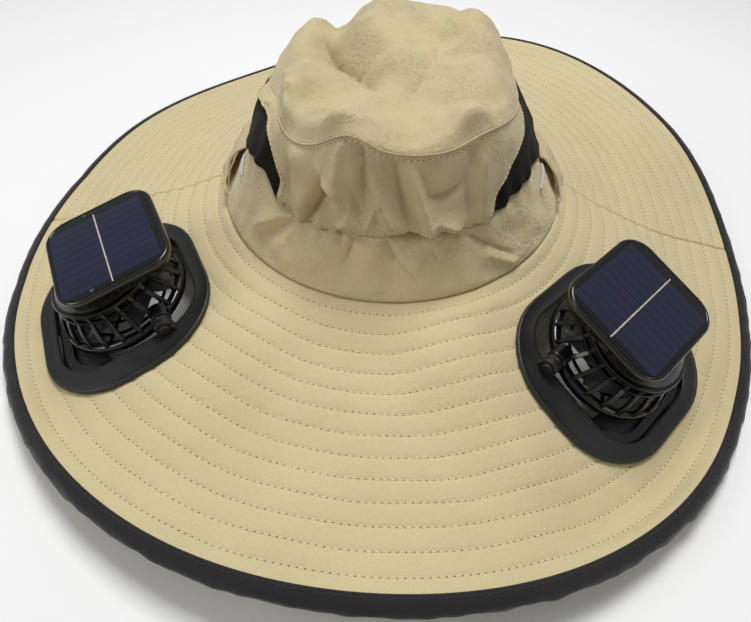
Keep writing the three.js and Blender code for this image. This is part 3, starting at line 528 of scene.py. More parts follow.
def brim_point(azimuth, along):
    """The brim held flat by the fans' frames, and lifted where it rests on the table."""
    azimuth, along = np.broadcast_arrays(np.asarray(azimuth, float), np.asarray(along, float))
    point = free_brim_point(azimuth, along)
    edge_height = free_brim_point(azimuth, BRIM_REACH) @ REST_UP
    lift = np.maximum(0, LOWEST_EDGE + REST_FLATTEN - edge_height)
    point[..., 2] += lift * smooth(along / BRIM_REACH, REST_BLEND, 1)
    ease = BRIM_REACH - HELD_ALONG
    ends = smooth(along, 0, ease) * smooth(BRIM_REACH - along, 0, ease)
    for seat in SEATS.values():
        local = in_seat(point, seat)
        hold = ends * (1 - smooth(outside_outline(local, BEZEL), FLAT_MARGIN, EASE_MARGIN))
        point[..., 2] -= hold * local[..., 2] / seat["axes"][2, 2]
    return point


def wall_section(azimuth, level):
    """The even outline of the crown at one of its four measured levels."""
    forward = np.sin(azimuth) < 0
    depth = HALF_DEPTH * np.where(forward, CROWN_LEVELS["front"][level], CROWN_LEVELS["back"][level])
    side = CROWN_LEVELS["side_height"][level]
    end = np.where(forward, CROWN_LEVELS["front_height"][level], CROWN_LEVELS["back_height"][level])
    height = side + (end - side) * np.sin(azimuth) ** 2
    width = HALF_WIDTH * CROWN_LEVELS["width"][level]
    return np.stack([width * np.cos(azimuth), depth * np.sin(azimuth), CROWN_HEIGHT * height], -1)


def eased(azimuth, rows, column=1):
    """A column of a table by azimuth, with its corners rounded."""
    degrees = np.degrees(azimuth)
    places, values = [row[0] for row in rows], [row[column] for row in rows]
    return sum(np.interp(degrees + step, places, values, period=360) for step in (-4, -2, 0, 2, 4)) / 5


class Ripples:
    """A sum of seeded waves, for cloth that is never quite even"""

    def __init__(self, seed, shortest, longest, count=18):
        random = np.random.default_rng(seed)
        length = random.uniform(shortest, longest, count)
        angle = random.uniform(0, 2 * math.pi, count)
        self.waves = np.stack([np.cos(angle), np.sin(angle)]) * (2 * math.pi / length)
        self.phase = random.uniform(0, 2 * math.pi, count)
        self.share = math.sqrt(2.0 / count)

    def __call__(self, x, y):
        angle = x[..., None] * self.waves[0] + y[..., None] * self.waves[1] + self.phase
        return np.sin(angle).sum(-1) * self.share


WALL_RIPPLES = Ripples(4, 9, 26)
TOP_RIPPLES = Ripples(11, 8, 24)
TOP_SWELLS = Ripples(19, 30, 60, 10)
BRIM_RIPPLES = Ripples(7, 35, 90, 14)
GATHERS = Ripples(23, 6, 13, 12)
PUCKERS = Ripples(41, 5.5, 9, 14)


def fold_sum(x, y, folds):
    """Each fold is a ridge or valley along a line, in the same units as x and y."""
    total = np.zeros(np.broadcast(x, y).shape)
    for from_x, from_y, to_x, to_y, height, width in folds:
        run = np.array((to_x - from_x, to_y - from_y))
        share = np.clip(((x - from_x) * run[0] + (y - from_y) * run[1]) / (run @ run), 0, 1)
        away = np.hypot(x - from_x - share * run[0], y - from_y - share * run[1]) / width
        total = total + height * np.exp(-(away**1.2)) * (0.7 + 0.3 * np.sin(math.pi * share))
    return total


WALL_ARC = CROWN_RADIUS * math.pi / 180
WALL_FOLD_LINES = np.array(WALL_FOLDS) * (WALL_ARC, WALL_RISE, WALL_ARC, WALL_RISE, 1, 1)


def crown_relief(azimuth, level):
    """How far the band and the wall of the crown stand out of an even surface."""
    degrees = np.mod(np.degrees(azimuth), 360)
    x, y = degrees * WALL_ARC, level * WALL_RISE
    relief = FOLD_STRENGTH * fold_sum(x, y, WALL_FOLD_LINES)
    wide = np.sin(azimuth) ** 2
    near_gather = np.exp(-np.abs(level - 1) / 0.2)
    relief = relief + near_gather * (0.15 + 0.85 * wide) * GATHER_DEPTH * GATHERS(x, y * 0.12)
    relief = relief + WALL_UNEVEN * WALL_RIPPLES(x, y)
    relief = relief + GATHER_BULGE * np.exp(-(((level - 1.15) / 0.12) ** 2)) * (0.4 + 0.6 * wide)
    relief = relief - GATHER_GROOVE * np.exp(-(((level - 1) / 0.03) ** 2))
    return relief * smooth(level, 0.0, 0.16) * smooth(2.0 - level, 0.0, 0.1)


def crown_point(azimuth, level, inset=0.0):
    """A point of the crown's band, from level 0 to 1, or of its wall, from 1 to 2."""
    azimuth, level = np.broadcast_arrays(np.asarray(azimuth, float), np.asarray(level, float))
    low, gather = wall_section(azimuth, 0), wall_section(azimuth, 1)
    gather[..., 2] += eased(azimuth, GATHER_RISE)
    middle, high = wall_section(azimuth, 2), wall_section(azimuth, 3)
    middle[..., 2] += 0.5 * eased(azimuth, GATHER_RISE)
    band = low + (gather - low) * np.minimum(level, 1)[..., None]
    share = np.clip(level - 1, 0, 1)[..., None]
    wall = gather * (1 - share) * (1 - 2 * share) + middle * 4 * share * (1 - share)
    wall = wall + high * share * (2 * share - 1)
    point = np.where((level < 1)[..., None], band, wall)
    risen = smooth(level, 1.2, 2.0)
    point[..., 2] += eased(azimuth, SEAM_SHIFT) * risen
    tuck = 1.2 * (1 - smooth(level, 0, 0.05)) + eased(azimuth, SEAM_SHIFT, 2) * risen
    return point + oval_outward(azimuth) * (crown_relief(azimuth, level) - inset - tuck)[..., None]


class Draped:
    """A thin plate bent through given heights."""

    def __init__(self, points):
        self.places = points[:, :2]
        count = len(points)
        level = np.column_stack([np.ones(count), self.places])
        matrix = np.zeros((count + 3, count + 3))
        matrix[:count, :count] = self.bend(self.places)
        matrix[:count, count:] = level
        matrix[count:, :count] = level.T
        self.weights = np.linalg.solve(matrix, np.concatenate([points[:, 2], np.zeros(3)]))

    def bend(self, places):
        square = ((places[..., None, :] - self.places) ** 2).sum(-1)
        return square * np.log(square + 1e-9) / 2

    def __call__(self, x, y):
        places = np.stack([x, y], -1)
        level = np.concatenate([np.ones_like(x)[..., None], places], -1)
        return self.bend(places) @ self.weights[:-3] + level @ self.weights[-3:]


TOP_RIM = crown_point(np.radians(np.arange(0, 360, 9)), 2.0)
TOP_DRAPED = Draped(np.concatenate([TOP_RIM, np.array(TOP_FORM, float)]))


def top_point(azimuth, inward):
    """A point of the crown's top, from the seam at 0 to the middle at 1."""
    azimuth, inward = np.broadcast_arrays(np.asarray(azimuth, float), np.asarray(inward, float))
    seam = crown_point(azimuth, 2.0)
    bulge = 1 + 0.02 * np.sin(math.pi * np.clip(inward / 0.14, 0, 1))
    x, y = seam[..., 0] * (1 - inward) * bulge, seam[..., 1] * (1 - inward) * bulge
    fade = smooth(inward, 0.0, 0.08)
    z = seam[..., 2] * (1 - fade) + TOP_DRAPED(x, y) * fade
    z = z + TOP_ROLL * np.sin(math.pi * np.clip(inward / 0.12, 0, 1))
    z = z + fade * (fold_sum(x, y, TOP_FOLDS) + TOP_UNEVEN * TOP_RIPPLES(x, y) + TOP_SWELL * TOP_SWELLS(x, y))
    return np.stack([x, y, z + GAP / 2], -1)


def edge_angle(edge, share):
    """Azimuth of an edge of a vent, from the gathers at 0 to the top seam at 1."""
    values = VENT_EDGES[edge]
    places = np.linspace(0, 1, len(values))
    steps = (-0.12, -0.06, 0, 0.06, 0.12)
    return np.radians(sum(np.interp(np.asarray(share) + step, places, values) for step in steps) / len(steps))


# Meshes


def to_part(points):
    """From the hat's own millimetres to the part's metres."""
    return (np.asarray(points) @ LEAN.T + np.array(SEAM_CENTRE)) * MM


def fan_to_part(points, side):
    """From a fan's own frame to the part's metres."""
    seat = SEATS[side]
    return to_part(np.asarray(points) @ seat["axes"].T + seat["origin"])


def linked(name, data):
    made = bpy.data.objects.new(name, data)
    bpy.context.scene.collection.objects.link(made)
    return made


def mesh_object(name, points, faces, uv=None, sharp=None):
    mesh = bpy.data.meshes.new(name)
    corners = [tuple(point) for point in np.asarray(points)]
    mesh.from_pydata(corners, [], [tuple(map(int, face)) for face in faces])
    if uv is not None:
        layer = mesh.uv_layers.new(name="Cloth")
        at = np.array([loop.vertex_index for loop in mesh.loops])
        layer.data.foreach_set("uv", np.asarray(uv, float)[at].ravel())
    mesh.validate()
    mesh.shade_smooth()
    if sharp:
        mesh.set_sharp_from_angle(angle=math.radians(sharp))
    return linked(name, mesh)


def grid_faces(rows, columns, closed):
    steps = columns if closed else columns - 1
    row, column = np.meshgrid(np.arange(rows - 1), np.arange(steps), indexing="ij")
    beside = (column + 1) % columns
    here, ahead = row * columns, (row + 1) * columns
    return np.stack([here + column, here + beside, ahead + beside, ahead + column], -1).reshape(-1, 4)


def thicken(made, thickness):
    wall = made.modifiers.new("Cloth thickness", "SOLIDIFY")
    wall.thickness = thickness * MM
    wall.offset = -1


def cloth_piece(name, points, uv, thickness, closed=False, keep=None, flip=False):
    """A sheet of cloth with its outer face at the points and its thickness inwards."""
    rows, columns = points.shape[:2]
    faces = grid_faces(rows, columns, closed)
    if keep is not None:
        faces = faces[keep(points.reshape(-1, 3)[faces].mean(1))]
    if flip:
        faces = faces[:, ::-1]
    made = mesh_object(name, to_part(points.reshape(-1, 3)), faces, uv.reshape(-1, 2) * MM)
    thicken(made, thickness)
    return made


def loft_faces(loops, count, closed):
    faces = []
    steps = loops if closed else loops - 1
    for step in range(steps):
        here, ahead = step * count, ((step + 1) % loops) * count
        for side in range(count):
            other = (side + 1) % count
            faces.append((here + side, here + other, ahead + other, ahead + side))
    if not closed:
        faces.append(tuple(range(count))[::-1])
        faces.append(tuple(range((loops - 1) * count, loops * count)))
    return faces


def loft(loops, closed=False):
    """Points and faces of a body through loops of equal length."""
    loops = [np.asarray(loop, float) for loop in loops]
    return np.concatenate(loops), loft_faces(len(loops), len(loops[0]), closed)


def combine(parts):
    points, faces, start = [], [], 0
    for part_points, part_faces in parts:
        points.append(np.asarray(part_points, float))
        faces.extend(tuple(index + start for index in face) for face in part_faces)
        start += len(part_points)
    return np.concatenate(points), faces


def face_outwards(made):
    mesh = bmesh.new()
    mesh.from_mesh(made.data)
    bmesh.ops.recalc_face_normals(mesh, faces=mesh.faces)
    mesh.to_mesh(made.data)
    mesh.free()


def outline(reach, span, corner, height=0.0, arc=9, side=5):
    """A rounded rectangle with the same number of points whatever its size."""
    points = []
    for quarter, (sign_x, sign_y) in enumerate(((1, 1), (-1, 1), (-1, -1), (1, -1))):
        middle = np.array((sign_x * (reach / 2 - corner), sign_y * (span / 2 - corner)))
        for angle in np.linspace(quarter * math.pi / 2, (quarter + 1) * math.pi / 2, arc + 1):
            points.append(middle + corner * np.array((math.cos(angle), math.sin(angle))))
        ahead = ((-1, 1), (-1, -1), (1, -1), (1, 1))[quarter]
        turned = (quarter + 1) * math.pi / 2
        target = np.array((ahead[0] * (reach / 2 - corner), ahead[1] * (span / 2 - corner)))
        target = target + corner * np.array((math.cos(turned), math.sin(turned)))
        start = points[-1]
        points.extend(start + (target - start) * step / side for step in range(1, side))
    points = np.array(points)
    return np.column_stack([points, np.full(len(points), height)])


def turned_body(profile, count, closed=False):
    """A body turned about the Z axis from a profile of radii and heights."""
    angle = np.linspace(0, 2 * math.pi, count, endpoint=False)
    circle = np.column_stack([np.cos(angle), np.sin(angle), np.ones(count)])
    return loft([circle * (radius, radius, height) for radius, height in profile], closed)


BAR_SECTION = ((-1, -0.7), (-0.7, -1), (0.7, -1), (1, -0.7), (1, 0.7), (0.7, 1), (-0.7, 1), (-1, 0.7))


def bar_body(path, across, width, thickness):
    """A bar of oblong section along a path; across points along its width at each place."""
    path, across = np.asarray(path, float), np.asarray(across, float)
    run = np.gradient(path, axis=0)
    run = run / np.linalg.norm(run, axis=1, keepdims=True)
    depth = np.cross(run, across)
    depth = depth / np.linalg.norm(depth, axis=1, keepdims=True)
    loops = []
    for at, side, out in zip(path, across, depth):
        loops.append([at + side * width / 2 * u + out * thickness / 2 * v for u, v in BAR_SECTION])
    return loft(loops)


# Node trees


def place(tree, kind, inputs=None, **settings):
    """Adds a node and gives its outputs. An input given as a socket is linked, and any other is set."""
    node = tree.nodes.new(kind)
    node.location = (220 * (len(tree.nodes) % 8), -180 * (len(tree.nodes) // 8))
    for key, value in settings.items():
        setattr(node, key, value)
    for key, value in (inputs or {}).items():
        if isinstance(value, bpy.types.NodeSocket):
            tree.links.new(value, node.inputs[key])
        else:
            node.inputs[key].default_value = value
    return node.outputs


def built_once(name):
    """A node tree that is built when it is first asked for."""

    def keep(build):
        def find():
            return bpy.data.node_groups.get(name) or build(name)

        return find

    return keep


def new_tree(name, kind, inputs, outputs):
    """A node group with its sockets, each given as a label, a kind and, for some inputs, a default."""
    tree = bpy.data.node_groups.new(name, f"{kind}NodeTree")
    for label, socket_kind, *default in inputs:
        socket = tree.interface.new_socket(label, in_out="INPUT", socket_type=f"NodeSocket{socket_kind}")
        if default:
            socket.default_value = default[0]
    for label, socket_kind in outputs:
        tree.interface.new_socket(label, in_out="OUTPUT", socket_type=f"NodeSocket{socket_kind}")
    return tree, place(tree, "NodeGroupInput")


def calculated(tree, operation, *values):
    return place(tree, "ShaderNodeMath", dict(enumerate(values)), operation=operation)["Value"]


def ranged(tree, value, from_low=0.0, from_high=1.0, to_low=0.0, to_high=1.0):
    limits = {"From Min": from_low, "From Max": from_high, "To Min": to_low, "To Max": to_high}
    return place(tree, "ShaderNodeMapRange", {"Value": value, **limits})["Result"]


def noise(tree, vector, scale, detail, roughness=0.5):
    inputs = {"Vector": vector, "Scale": scale, "Detail": detail, "Roughness": roughness}
    return place(tree, "ShaderNodeTexNoise", inputs)[0]


def mixed_colour(tree, share, first, second):
    return place(tree, "ShaderNodeMix", {"Factor": share, 6: first, 7: second}, data_type="RGBA")[2]


def mixed_value(tree, share, first, second):
    return place(tree, "ShaderNodeMix", {"Factor": share, 2: first, 3: second})[0]


def bump(tree, height, distance, strength, **under):
    inputs = {"Height": height, "Distance": distance, "Strength": strength, **under}
    return place(tree, "ShaderNodeBump", inputs)["Normal"]


# Geometry Nodes for what repeats


@built_once("Stitch run")
def stitch_tree(name):
    """Threads and needle holes along lines, lying in the surface that the lines' normals give. The needle
    holes are flat dark discs: painted shade.
    """
    sizes = [(label, "Float") for label in ("Pitch", "Length", "Thread", "Hole")]
    finishes = [("Thread finish", "Material"), ("Hole finish", "Material")]
    inputs = [("Geometry", "Geometry"), *sizes, *finishes]
    tree, given = new_tree(name, "Geometry", inputs, [("Geometry", "Geometry")])
    lines = place(tree, "GeometryNodeMeshToCurve", {"Mesh": given["Geometry"]})["Curve"]
    spacing = {"Curve": lines, "Length": given["Pitch"]}
    spaced = place(tree, "GeometryNodeResampleCurve", spacing, mode="LENGTH")["Curve"]
    tangent = place(tree, "GeometryNodeInputTangent")["Tangent"]
    normal = place(
        tree, "GeometryNodeInputNamedAttribute", {"Name": "surface_normal"}, data_type="FLOAT_VECTOR"
    )["Attribute"]
    turn = "FunctionNodeAlignRotationToVector"
    along = place(tree, turn, {"Vector": tangent}, axis="X", pivot_axis="AUTO")["Rotation"]
    upright = place(tree, turn, {"Rotation": along, "Vector": normal}, axis="Z", pivot_axis="X")["Rotation"]
    ball = place(tree, "GeometryNodeMeshIcoSphere", {"Radius": 0.5, "Subdivisions": 1})["Mesh"]
    half_pitch = calculated(tree, "MULTIPLY", given["Pitch"], 0.5)
    aside = place(tree, "ShaderNodeCombineXYZ", {"X": half_pitch})["Vector"]
    shallow = calculated(tree, "MULTIPLY", given["Hole"], 0.2)
    thread_size = {"X": given["Length"], "Y": given["Thread"], "Z": given["Thread"]}
    # each needle hole is a flat dark disc in its own finish: painted shade where the thread goes into the
    # cloth
    hole_size = {"X": given["Hole"], "Y": given["Hole"], "Z": shallow}
    kinds = ((thread_size, {}, "Thread finish"), (hole_size, {"Translation": aside}, "Hole finish"))
    bodies = []
    for size, shift, skin in kinds:
        scale = place(tree, "ShaderNodeCombineXYZ", size)["Vector"]
        body = place(tree, "GeometryNodeTransform", {"Geometry": ball, "Scale": scale, **shift})["Geometry"]
        finished = {"Geometry": body, "Material": given[skin]}
        bodies.append(place(tree, "GeometryNodeSetMaterial", finished)["Geometry"])
    both = place(tree, "GeometryNodeJoinGeometry", {"Geometry": bodies[0]})["Geometry"]
    tree.links.new(bodies[1], both.node.inputs["Geometry"])
    copies = {"Points": spaced, "Instance": both, "Rotation": upright}
    stitches = place(tree, "GeometryNodeInstanceOnPoints", copies)["Instances"]
    real = place(tree, "GeometryNodeRealizeInstances", {"Geometry": stitches})["Geometry"]
    place(tree, "NodeGroupOutput", {"Geometry": real})
    return tree


@built_once("Round row")
def round_tree(name):
    """Copies of one body, turned evenly about the Z axis."""
    inputs = [("Geometry", "Geometry"), ("Count", "Int"), ("Finish", "Material")]
    tree, given = new_tree(name, "Geometry", inputs, [("Geometry", "Geometry")])
    points = place(tree, "GeometryNodeMeshLine", {"Count": given["Count"], "Offset": (0, 0, 0)})["Mesh"]
    index = place(tree, "GeometryNodeInputIndex")["Index"]
    step = calculated(tree, "DIVIDE", 2 * math.pi, given["Count"])
    turn = place(tree, "ShaderNodeCombineXYZ", {"Z": calculated(tree, "MULTIPLY", index, step)})["Vector"]
    turned = place(tree, "FunctionNodeEulerToRotation", {"Euler": turn})["Rotation"]
    inputs = {"Points": points, "Instance": given["Geometry"], "Rotation": turned}
    copies = place(tree, "GeometryNodeInstanceOnPoints", inputs)["Instances"]
    real = place(tree, "GeometryNodeRealizeInstances", {"Geometry": copies})["Geometry"]
    skin = place(tree, "GeometryNodeSetMaterial", {"Geometry": real, "Material": given["Finish"]})["Geometry"]
    place(tree, "NodeGroupOutput", {"Geometry": skin})
    return tree


def made_plain(carrier, tree, values):
    """The carrier's mesh with the tree's result in place of its own, and no modifier left."""
    modifier = carrier.modifiers.new(tree.name, "NODES")
    modifier.node_group = tree
    sockets = {item.name: item.identifier for item in tree.interface.items_tree if item.in_out == "INPUT"}
    for label, value in values.items():
        modifier[sockets[label]] = value
    evaluated = carrier.evaluated_get(bpy.context.evaluated_depsgraph_get())
    mesh = bpy.data.meshes.new_from_object(evaluated)
    carrier.modifiers.remove(modifier)
    if mesh.materials and mesh.materials[0] is None:
        mesh.materials.pop(index=0)
    old = carrier.data
    carrier.data = mesh
    bpy.data.meshes.remove(old)
    mesh.name = carrier.name


def stitch_piece(name, lines, pitch, scale=1.0, thread="sewing_thread", hole="needle_hole"):
    """Stitches along lines, each given as points and surface normals in the part's metres."""
    points, normals, edges = [], [], []
    for line_points, line_normals in lines:
        start = len(points)
        points.extend(map(tuple, line_points))
        normals.extend(map(tuple, line_normals))
        edges.extend((start + step, start + step + 1) for step in range(len(line_points) - 1))
    mesh = bpy.data.meshes.new(name)
    mesh.from_pydata(points, edges, [])
    attribute = mesh.attributes.new("surface_normal", "FLOAT_VECTOR", "POINT")
    attribute.data.foreach_set("vector", np.array(normals, float).ravel())
    made = linked(name, mesh)
    sizes = bpy.context.scene.hat_sizes
    values = {
        "Pitch": pitch,
        "Length": sizes.stitch_length * scale,
        "Thread": sizes.thread * scale,
        "Hole": sizes.hole * scale,
        "Thread finish": finish(thread),
        "Hole finish": finish(hole),
    }
    made_plain(made, stitch_tree(), values)
    made.data.shade_smooth()
    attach(made, "hat")


def round_row(points, faces, count):
    """Points and faces of a body repeated round the Z axis."""
    carrier = mesh_object("round_row", points, faces)
    made_plain(carrier, round_tree(), {"Count": count, "Finish": finish("gloss_plastic")})
    mesh = carrier.data
    points = np.array([vertex.co for vertex in mesh.vertices])
    faces = [tuple(face.vertices) for face in mesh.polygons]
    bpy.data.objects.remove(carrier)
    return points, faces


# Materials


@built_once("Plain weave")
def weave_group(name):
    """Plain weave: rounded threads that pass over and under each other."""
    inputs = [("Vector", "Vector"), ("Threads per metre", "Float", 1800.0)]
    tree, given = new_tree(name, "Shader", inputs, [("Height", "Float")])
    half_turns = {0: given["Vector"], 1: (math.pi,) * 3}
    scaled = place(tree, "ShaderNodeVectorMath", half_turns, operation="MULTIPLY")[0]
    counted = {0: scaled, "Scale": given["Threads per metre"]}
    wide = place(tree, "ShaderNodeVectorMath", counted, operation="SCALE")[0]
    axes = place(tree, "ShaderNodeSeparateXYZ", {"Vector": wide})
    waves = [calculated(tree, "SINE", axes[axis]) for axis in ("X", "Y")]
    over = ranged(tree, calculated(tree, "MULTIPLY", *waves), -0.3, 0.3)
    rounds = [calculated(tree, "POWER", calculated(tree, "ABSOLUTE", wave), 0.6) for wave in waves]
    place(tree, "NodeGroupOutput", {"Height": mixed_value(tree, over, *rounds)})
    return tree


@built_once("Crumple")
def crumple_group(name):
    """Soft creases of washed cloth: broad hollows with fine sharp ridges between them."""
    inputs = [("Vector", "Vector"), ("Creases per metre", "Float", 150.0), ("Sharpness", "Float", 0.5)]
    tree, given = new_tree(name, "Shader", inputs, [("Height", "Float")])
    fine = noise(tree, given["Vector"], given["Creases per metre"], 5.0, 0.62)
    folded = calculated(tree, "ABSOLUTE", calculated(tree, "SUBTRACT", fine, 0.5))
    ridged = ranged(tree, folded, 0.0, 0.2, 0.6, 0.4)
    patch = ranged(tree, noise(tree, given["Vector"], 38.0, 1.0), 0.42, 0.62, 0.25)
    height = calculated(tree, "MULTIPLY", mixed_value(tree, given["Sharpness"], fine, ridged), patch)
    place(tree, "NodeGroupOutput", {"Height": height})
    return tree


@built_once("Cloth tone")
def tone_group(name):
    """Uneven dye: broad patches and fine threads a little lighter and darker than the colour."""
    inputs = [("Vector", "Vector"), ("Colour", "Color", (0.5, 0.5, 0.5, 1)), ("Unevenness", "Float", 0.1)]
    tree, given = new_tree(name, "Shader", inputs, [("Colour", "Color")])
    patches, threads = noise(tree, given["Vector"], 22.0, 3.0), noise(tree, given["Vector"], 900.0, 2.0)
    offset = calculated(tree, "SUBTRACT", calculated(tree, "ADD", patches, threads), 1.0)
    level = calculated(tree, "ADD", calculated(tree, "MULTIPLY", offset, given["Unevenness"]), 1.0)
    toned = place(tree, "ShaderNodeVectorMath", {0: given["Colour"], "Scale": level}, operation="SCALE")[0]
    place(tree, "NodeGroupOutput", {"Colour": toned})
    return tree


@built_once("Moulded surface")
def moulding_group(name):
    """Fine grain of moulded plastic, and the dust and rubbing that change its gloss."""
    inputs = [("Vector", "Vector"), ("Grain per metre", "Float", 2600.0), ("Roughness", "Float", 0.4)]
    outputs = [("Height", "Float"), ("Roughness", "Float"), ("Dust", "Float")]
    tree, given = new_tree(name, "Shader", inputs, outputs)
    grain = noise(tree, given["Vector"], given["Grain per metre"], 2.0)
    rub = noise(tree, given["Vector"], 60.0, 5.0, 0.6)
    rough = calculated(tree, "ADD", given["Roughness"], ranged(tree, rub, 0.3, 0.7, -0.07, 0.09))
    dust = ranged(tree, rub, 0.5, 0.8)
    place(tree, "NodeGroupOutput", {"Height": grain, "Roughness": rough, "Dust": dust})
    return tree


def new_material(name):
    """An empty material, and the coordinates that its patterns read."""
    material = bpy.data.materials.new(name)
    material.use_nodes = True
    material.node_tree.nodes.clear()
    return material, place(material.node_tree, "ShaderNodeTexCoord")


def end_material(material, inputs):
    """Ends a material in one Principled shader."""
    shader = place(material.node_tree, "ShaderNodeBsdfPrincipled", inputs)["BSDF"]
    place(material.node_tree, "ShaderNodeOutputMaterial", {"Surface": shader})
    return material


def shade(colour, gain=1.0):
    """A colour of the hat by name, made lighter or darker."""
    return (*(part * gain for part in getattr(bpy.context.scene.hat_colours, colour)), 1.0)


def cloth_material(
    name, colour, weave, creases, crease_depth, sharpness=0.0, gain=1.0, unevenness=0.16, roughness=0.88,
    sheen=0.25, weave_on="Object",
):
    """Woven cloth: fine threads over soft creases, in an uneven dye."""
    material, source = new_material(name)
    tree = material.node_tree
    woven = {"Vector": source[weave_on], "Threads per metre": weave}
    threads = place(tree, "ShaderNodeGroup", woven, node_tree=weave_group())["Height"]
    crumpled = {"Vector": source["Object"], "Creases per metre": creases, "Sharpness": sharpness}
    creased = place(tree, "ShaderNodeGroup", crumpled, node_tree=crumple_group())["Height"]
    dyed = {"Vector": source["Object"], "Colour": shade(colour, gain), "Unevenness": unevenness}
    toned = place(tree, "ShaderNodeGroup", dyed, node_tree=tone_group())["Colour"]
    coarse = bump(tree, creased, crease_depth, 1.0)
    surface = {
        "Base Color": toned,
        "Roughness": roughness,
        "Sheen Weight": sheen,
        "Sheen Roughness": 0.4,
        "Specular IOR Level": 0.25,
        "Normal": bump(tree, threads, 0.00012, 0.6, Normal=coarse),
    }
    return end_material(material, surface)


def vent_material(name):
    """Knitted mesh of near-black yarn, its rows of small holes painted darker still: painted shade for the
    dark inside of the crown seen through them.
    """
    material, source = new_material(name)
    tree = material.node_tree
    knit = {"Vector": source["UV"], "Scale": 900.0, "Randomness": 0.15}
    hole = ranged(tree, place(tree, "ShaderNodeTexVoronoi", knit)["Distance"], 0.18, 0.42)
    surface = {
        # holes at a quarter of the mesh colour against yarn half as light again: painted shade in the holes
        "Base Color": mixed_colour(tree, hole, shade("mesh", 0.25), shade("mesh", 1.5)),
        "Roughness": 0.9,
        "Sheen Weight": 0.04,
        "Specular IOR Level": 0.12,
        "Normal": bump(tree, hole, 0.0003, 0.8),
    }
    return end_material(material, surface)


def plastic_material(name, colour, roughness, grain, depth, dust, coat=0.0):
    """Moulded plastic or dull metal, with a fine grain and a little dust."""
    material, source = new_material(name)
    tree = material.node_tree
    moulding = {"Vector": source["Object"], "Grain per metre": grain, "Roughness": roughness}
    moulded = place(tree, "ShaderNodeGroup", moulding, node_tree=moulding_group())
    share = calculated(tree, "MULTIPLY", moulded["Dust"], dust)
    surface = {
        "Base Color": mixed_colour(tree, share, shade(colour), DUST_COLOUR),
        "Roughness": moulded["Roughness"],
        "Coat Weight": coat,
        "Coat Roughness": 0.06,
        "Normal": bump(tree, moulded["Height"], depth, 0.5),
    }
    return end_material(material, surface)


def line_mask(tree, value, half_width, soft):
    """1 within half a width of 0, and 0 beyond it."""
    away = calculated(tree, "ABSOLUTE", value)
    return ranged(tree, away, half_width, half_width + soft, 1.0, 0.0)


def cell_material(name):
    """Glazed solar cell: dark gaps between its strips, fine fingers along them and one busbar across."""
    material, source = new_material(name)
    tree = material.node_tree
    axes = place(tree, "ShaderNodeSeparateXYZ", {"Vector": source["UV"]})
    reach, span = axes["X"], axes["Y"]
    half_reach, half_span = (size / 2 * MM for size in CELL)
    colour = mixed_colour(tree, noise(tree, source["UV"], 60.0, 3.0), shade("cell", 0.7), shade("cell", 1.5))
    for count, half_width, line_colour in (
        (CELL_FINGERS, 0.00008, FINGER_COLOUR),
        (CELL_STRIPS, 0.00014, STRIP_GAP_COLOUR),
    ):
        wrapped = calculated(tree, "PINGPONG", span, CELL[1] / count * MM / 2)
        colour = mixed_colour(tree, line_mask(tree, wrapped, half_width, 0.0001), colour, line_colour)
    uneven = ranged(tree, noise(tree, source["UV"], 700.0, 2.0), to_low=-0.0003, to_high=0.0003)
    bar = line_mask(tree, calculated(tree, "ADD", reach, uneven), BUSBAR / 2 * MM, 0.0001)
    within = [line_mask(tree, *row, 0.0002) for row in ((reach, half_reach), (span, half_span))]
    colour = mixed_colour(tree, calculated(tree, "MULTIPLY", *within), CELL_BORDER_COLOUR, colour)
    bar_shown = calculated(tree, "MULTIPLY", bar, line_mask(tree, span, half_span + 0.0018, 0.0002))
    surface = {
        "Base Color": mixed_colour(tree, bar_shown, colour, BUSBAR_COLOUR),
        "Roughness": 0.4,
        "Specular IOR Level": 0.15,
        "Coat Weight": 0.7,
        "Coat Roughness": 0.04,
        "Normal": bump(tree, noise(tree, source["Object"], 45.0, 2.0), 0.0012, 0.25),
    }
    return end_material(material, surface)


# Finishes: threads, creases and grain are counted in a metre, and depths are in metres
CROWN_WEAVE = {"colour": "crown", "weave": 1700, "creases": 420, "crease_depth": 0.0019, "sharpness": 0.25}
THREAD_WEAVE = {"weave": 3000, "creases": 400, "crease_depth": 0.0003, "sharpness": 0.3}
CLOTH_FINISHES = {
    "brim_cloth": {"colour": "brim", "weave": 1700, "creases": 260, "crease_depth": 0.0006},
    "crown_cloth": {**CROWN_WEAVE, "weave_on": "UV"},
    # the band is the crown's cloth painted a fifth lighter: painted light, as the band catches more light
    # than the wall
    "band_cloth": {**CROWN_WEAVE, "gain": 1.2, "weave_on": "UV"},
    "sewing_thread": {**THREAD_WEAVE, "colour": "thread"},
    # needle holes: a dark colour painted as the shade in each hole
    "needle_hole": {**THREAD_WEAVE, "colour": "hole"},
    "binding_thread": {**THREAD_WEAVE, "colour": "binding", "gain": 1.8},
    "binding_cloth": {
        "colour": "binding", "weave": 1500, "creases": 300, "crease_depth": 0.0006, "unevenness": 0.3,
        "sheen": 0.35, "weave_on": "UV",
    },
    "piping_cloth": {
        "colour": "piping", "weave": 2500, "creases": 300, "crease_depth": 0.0004, "sharpness": 0.3,
        "roughness": 0.5,
    },
}
PLASTIC_FINISHES = {
    "dull_metal": {"colour": "metal", "roughness": 0.5, "grain": 1800, "depth": 0.00005, "dust": 0.1},
    "matte_plastic": {"colour": "matte", "roughness": 0.4, "grain": 2600, "depth": 0.00012, "dust": 0.03},
    "gloss_plastic": {
        "colour": "gloss", "roughness": 0.2, "grain": 900, "depth": 0.00003, "dust": 0.01, "coat": 0.35,
    },
    "blade_plastic": {"colour": "blade", "roughness": 0.5, "grain": 1800, "depth": 0.00006, "dust": 0.04},
}


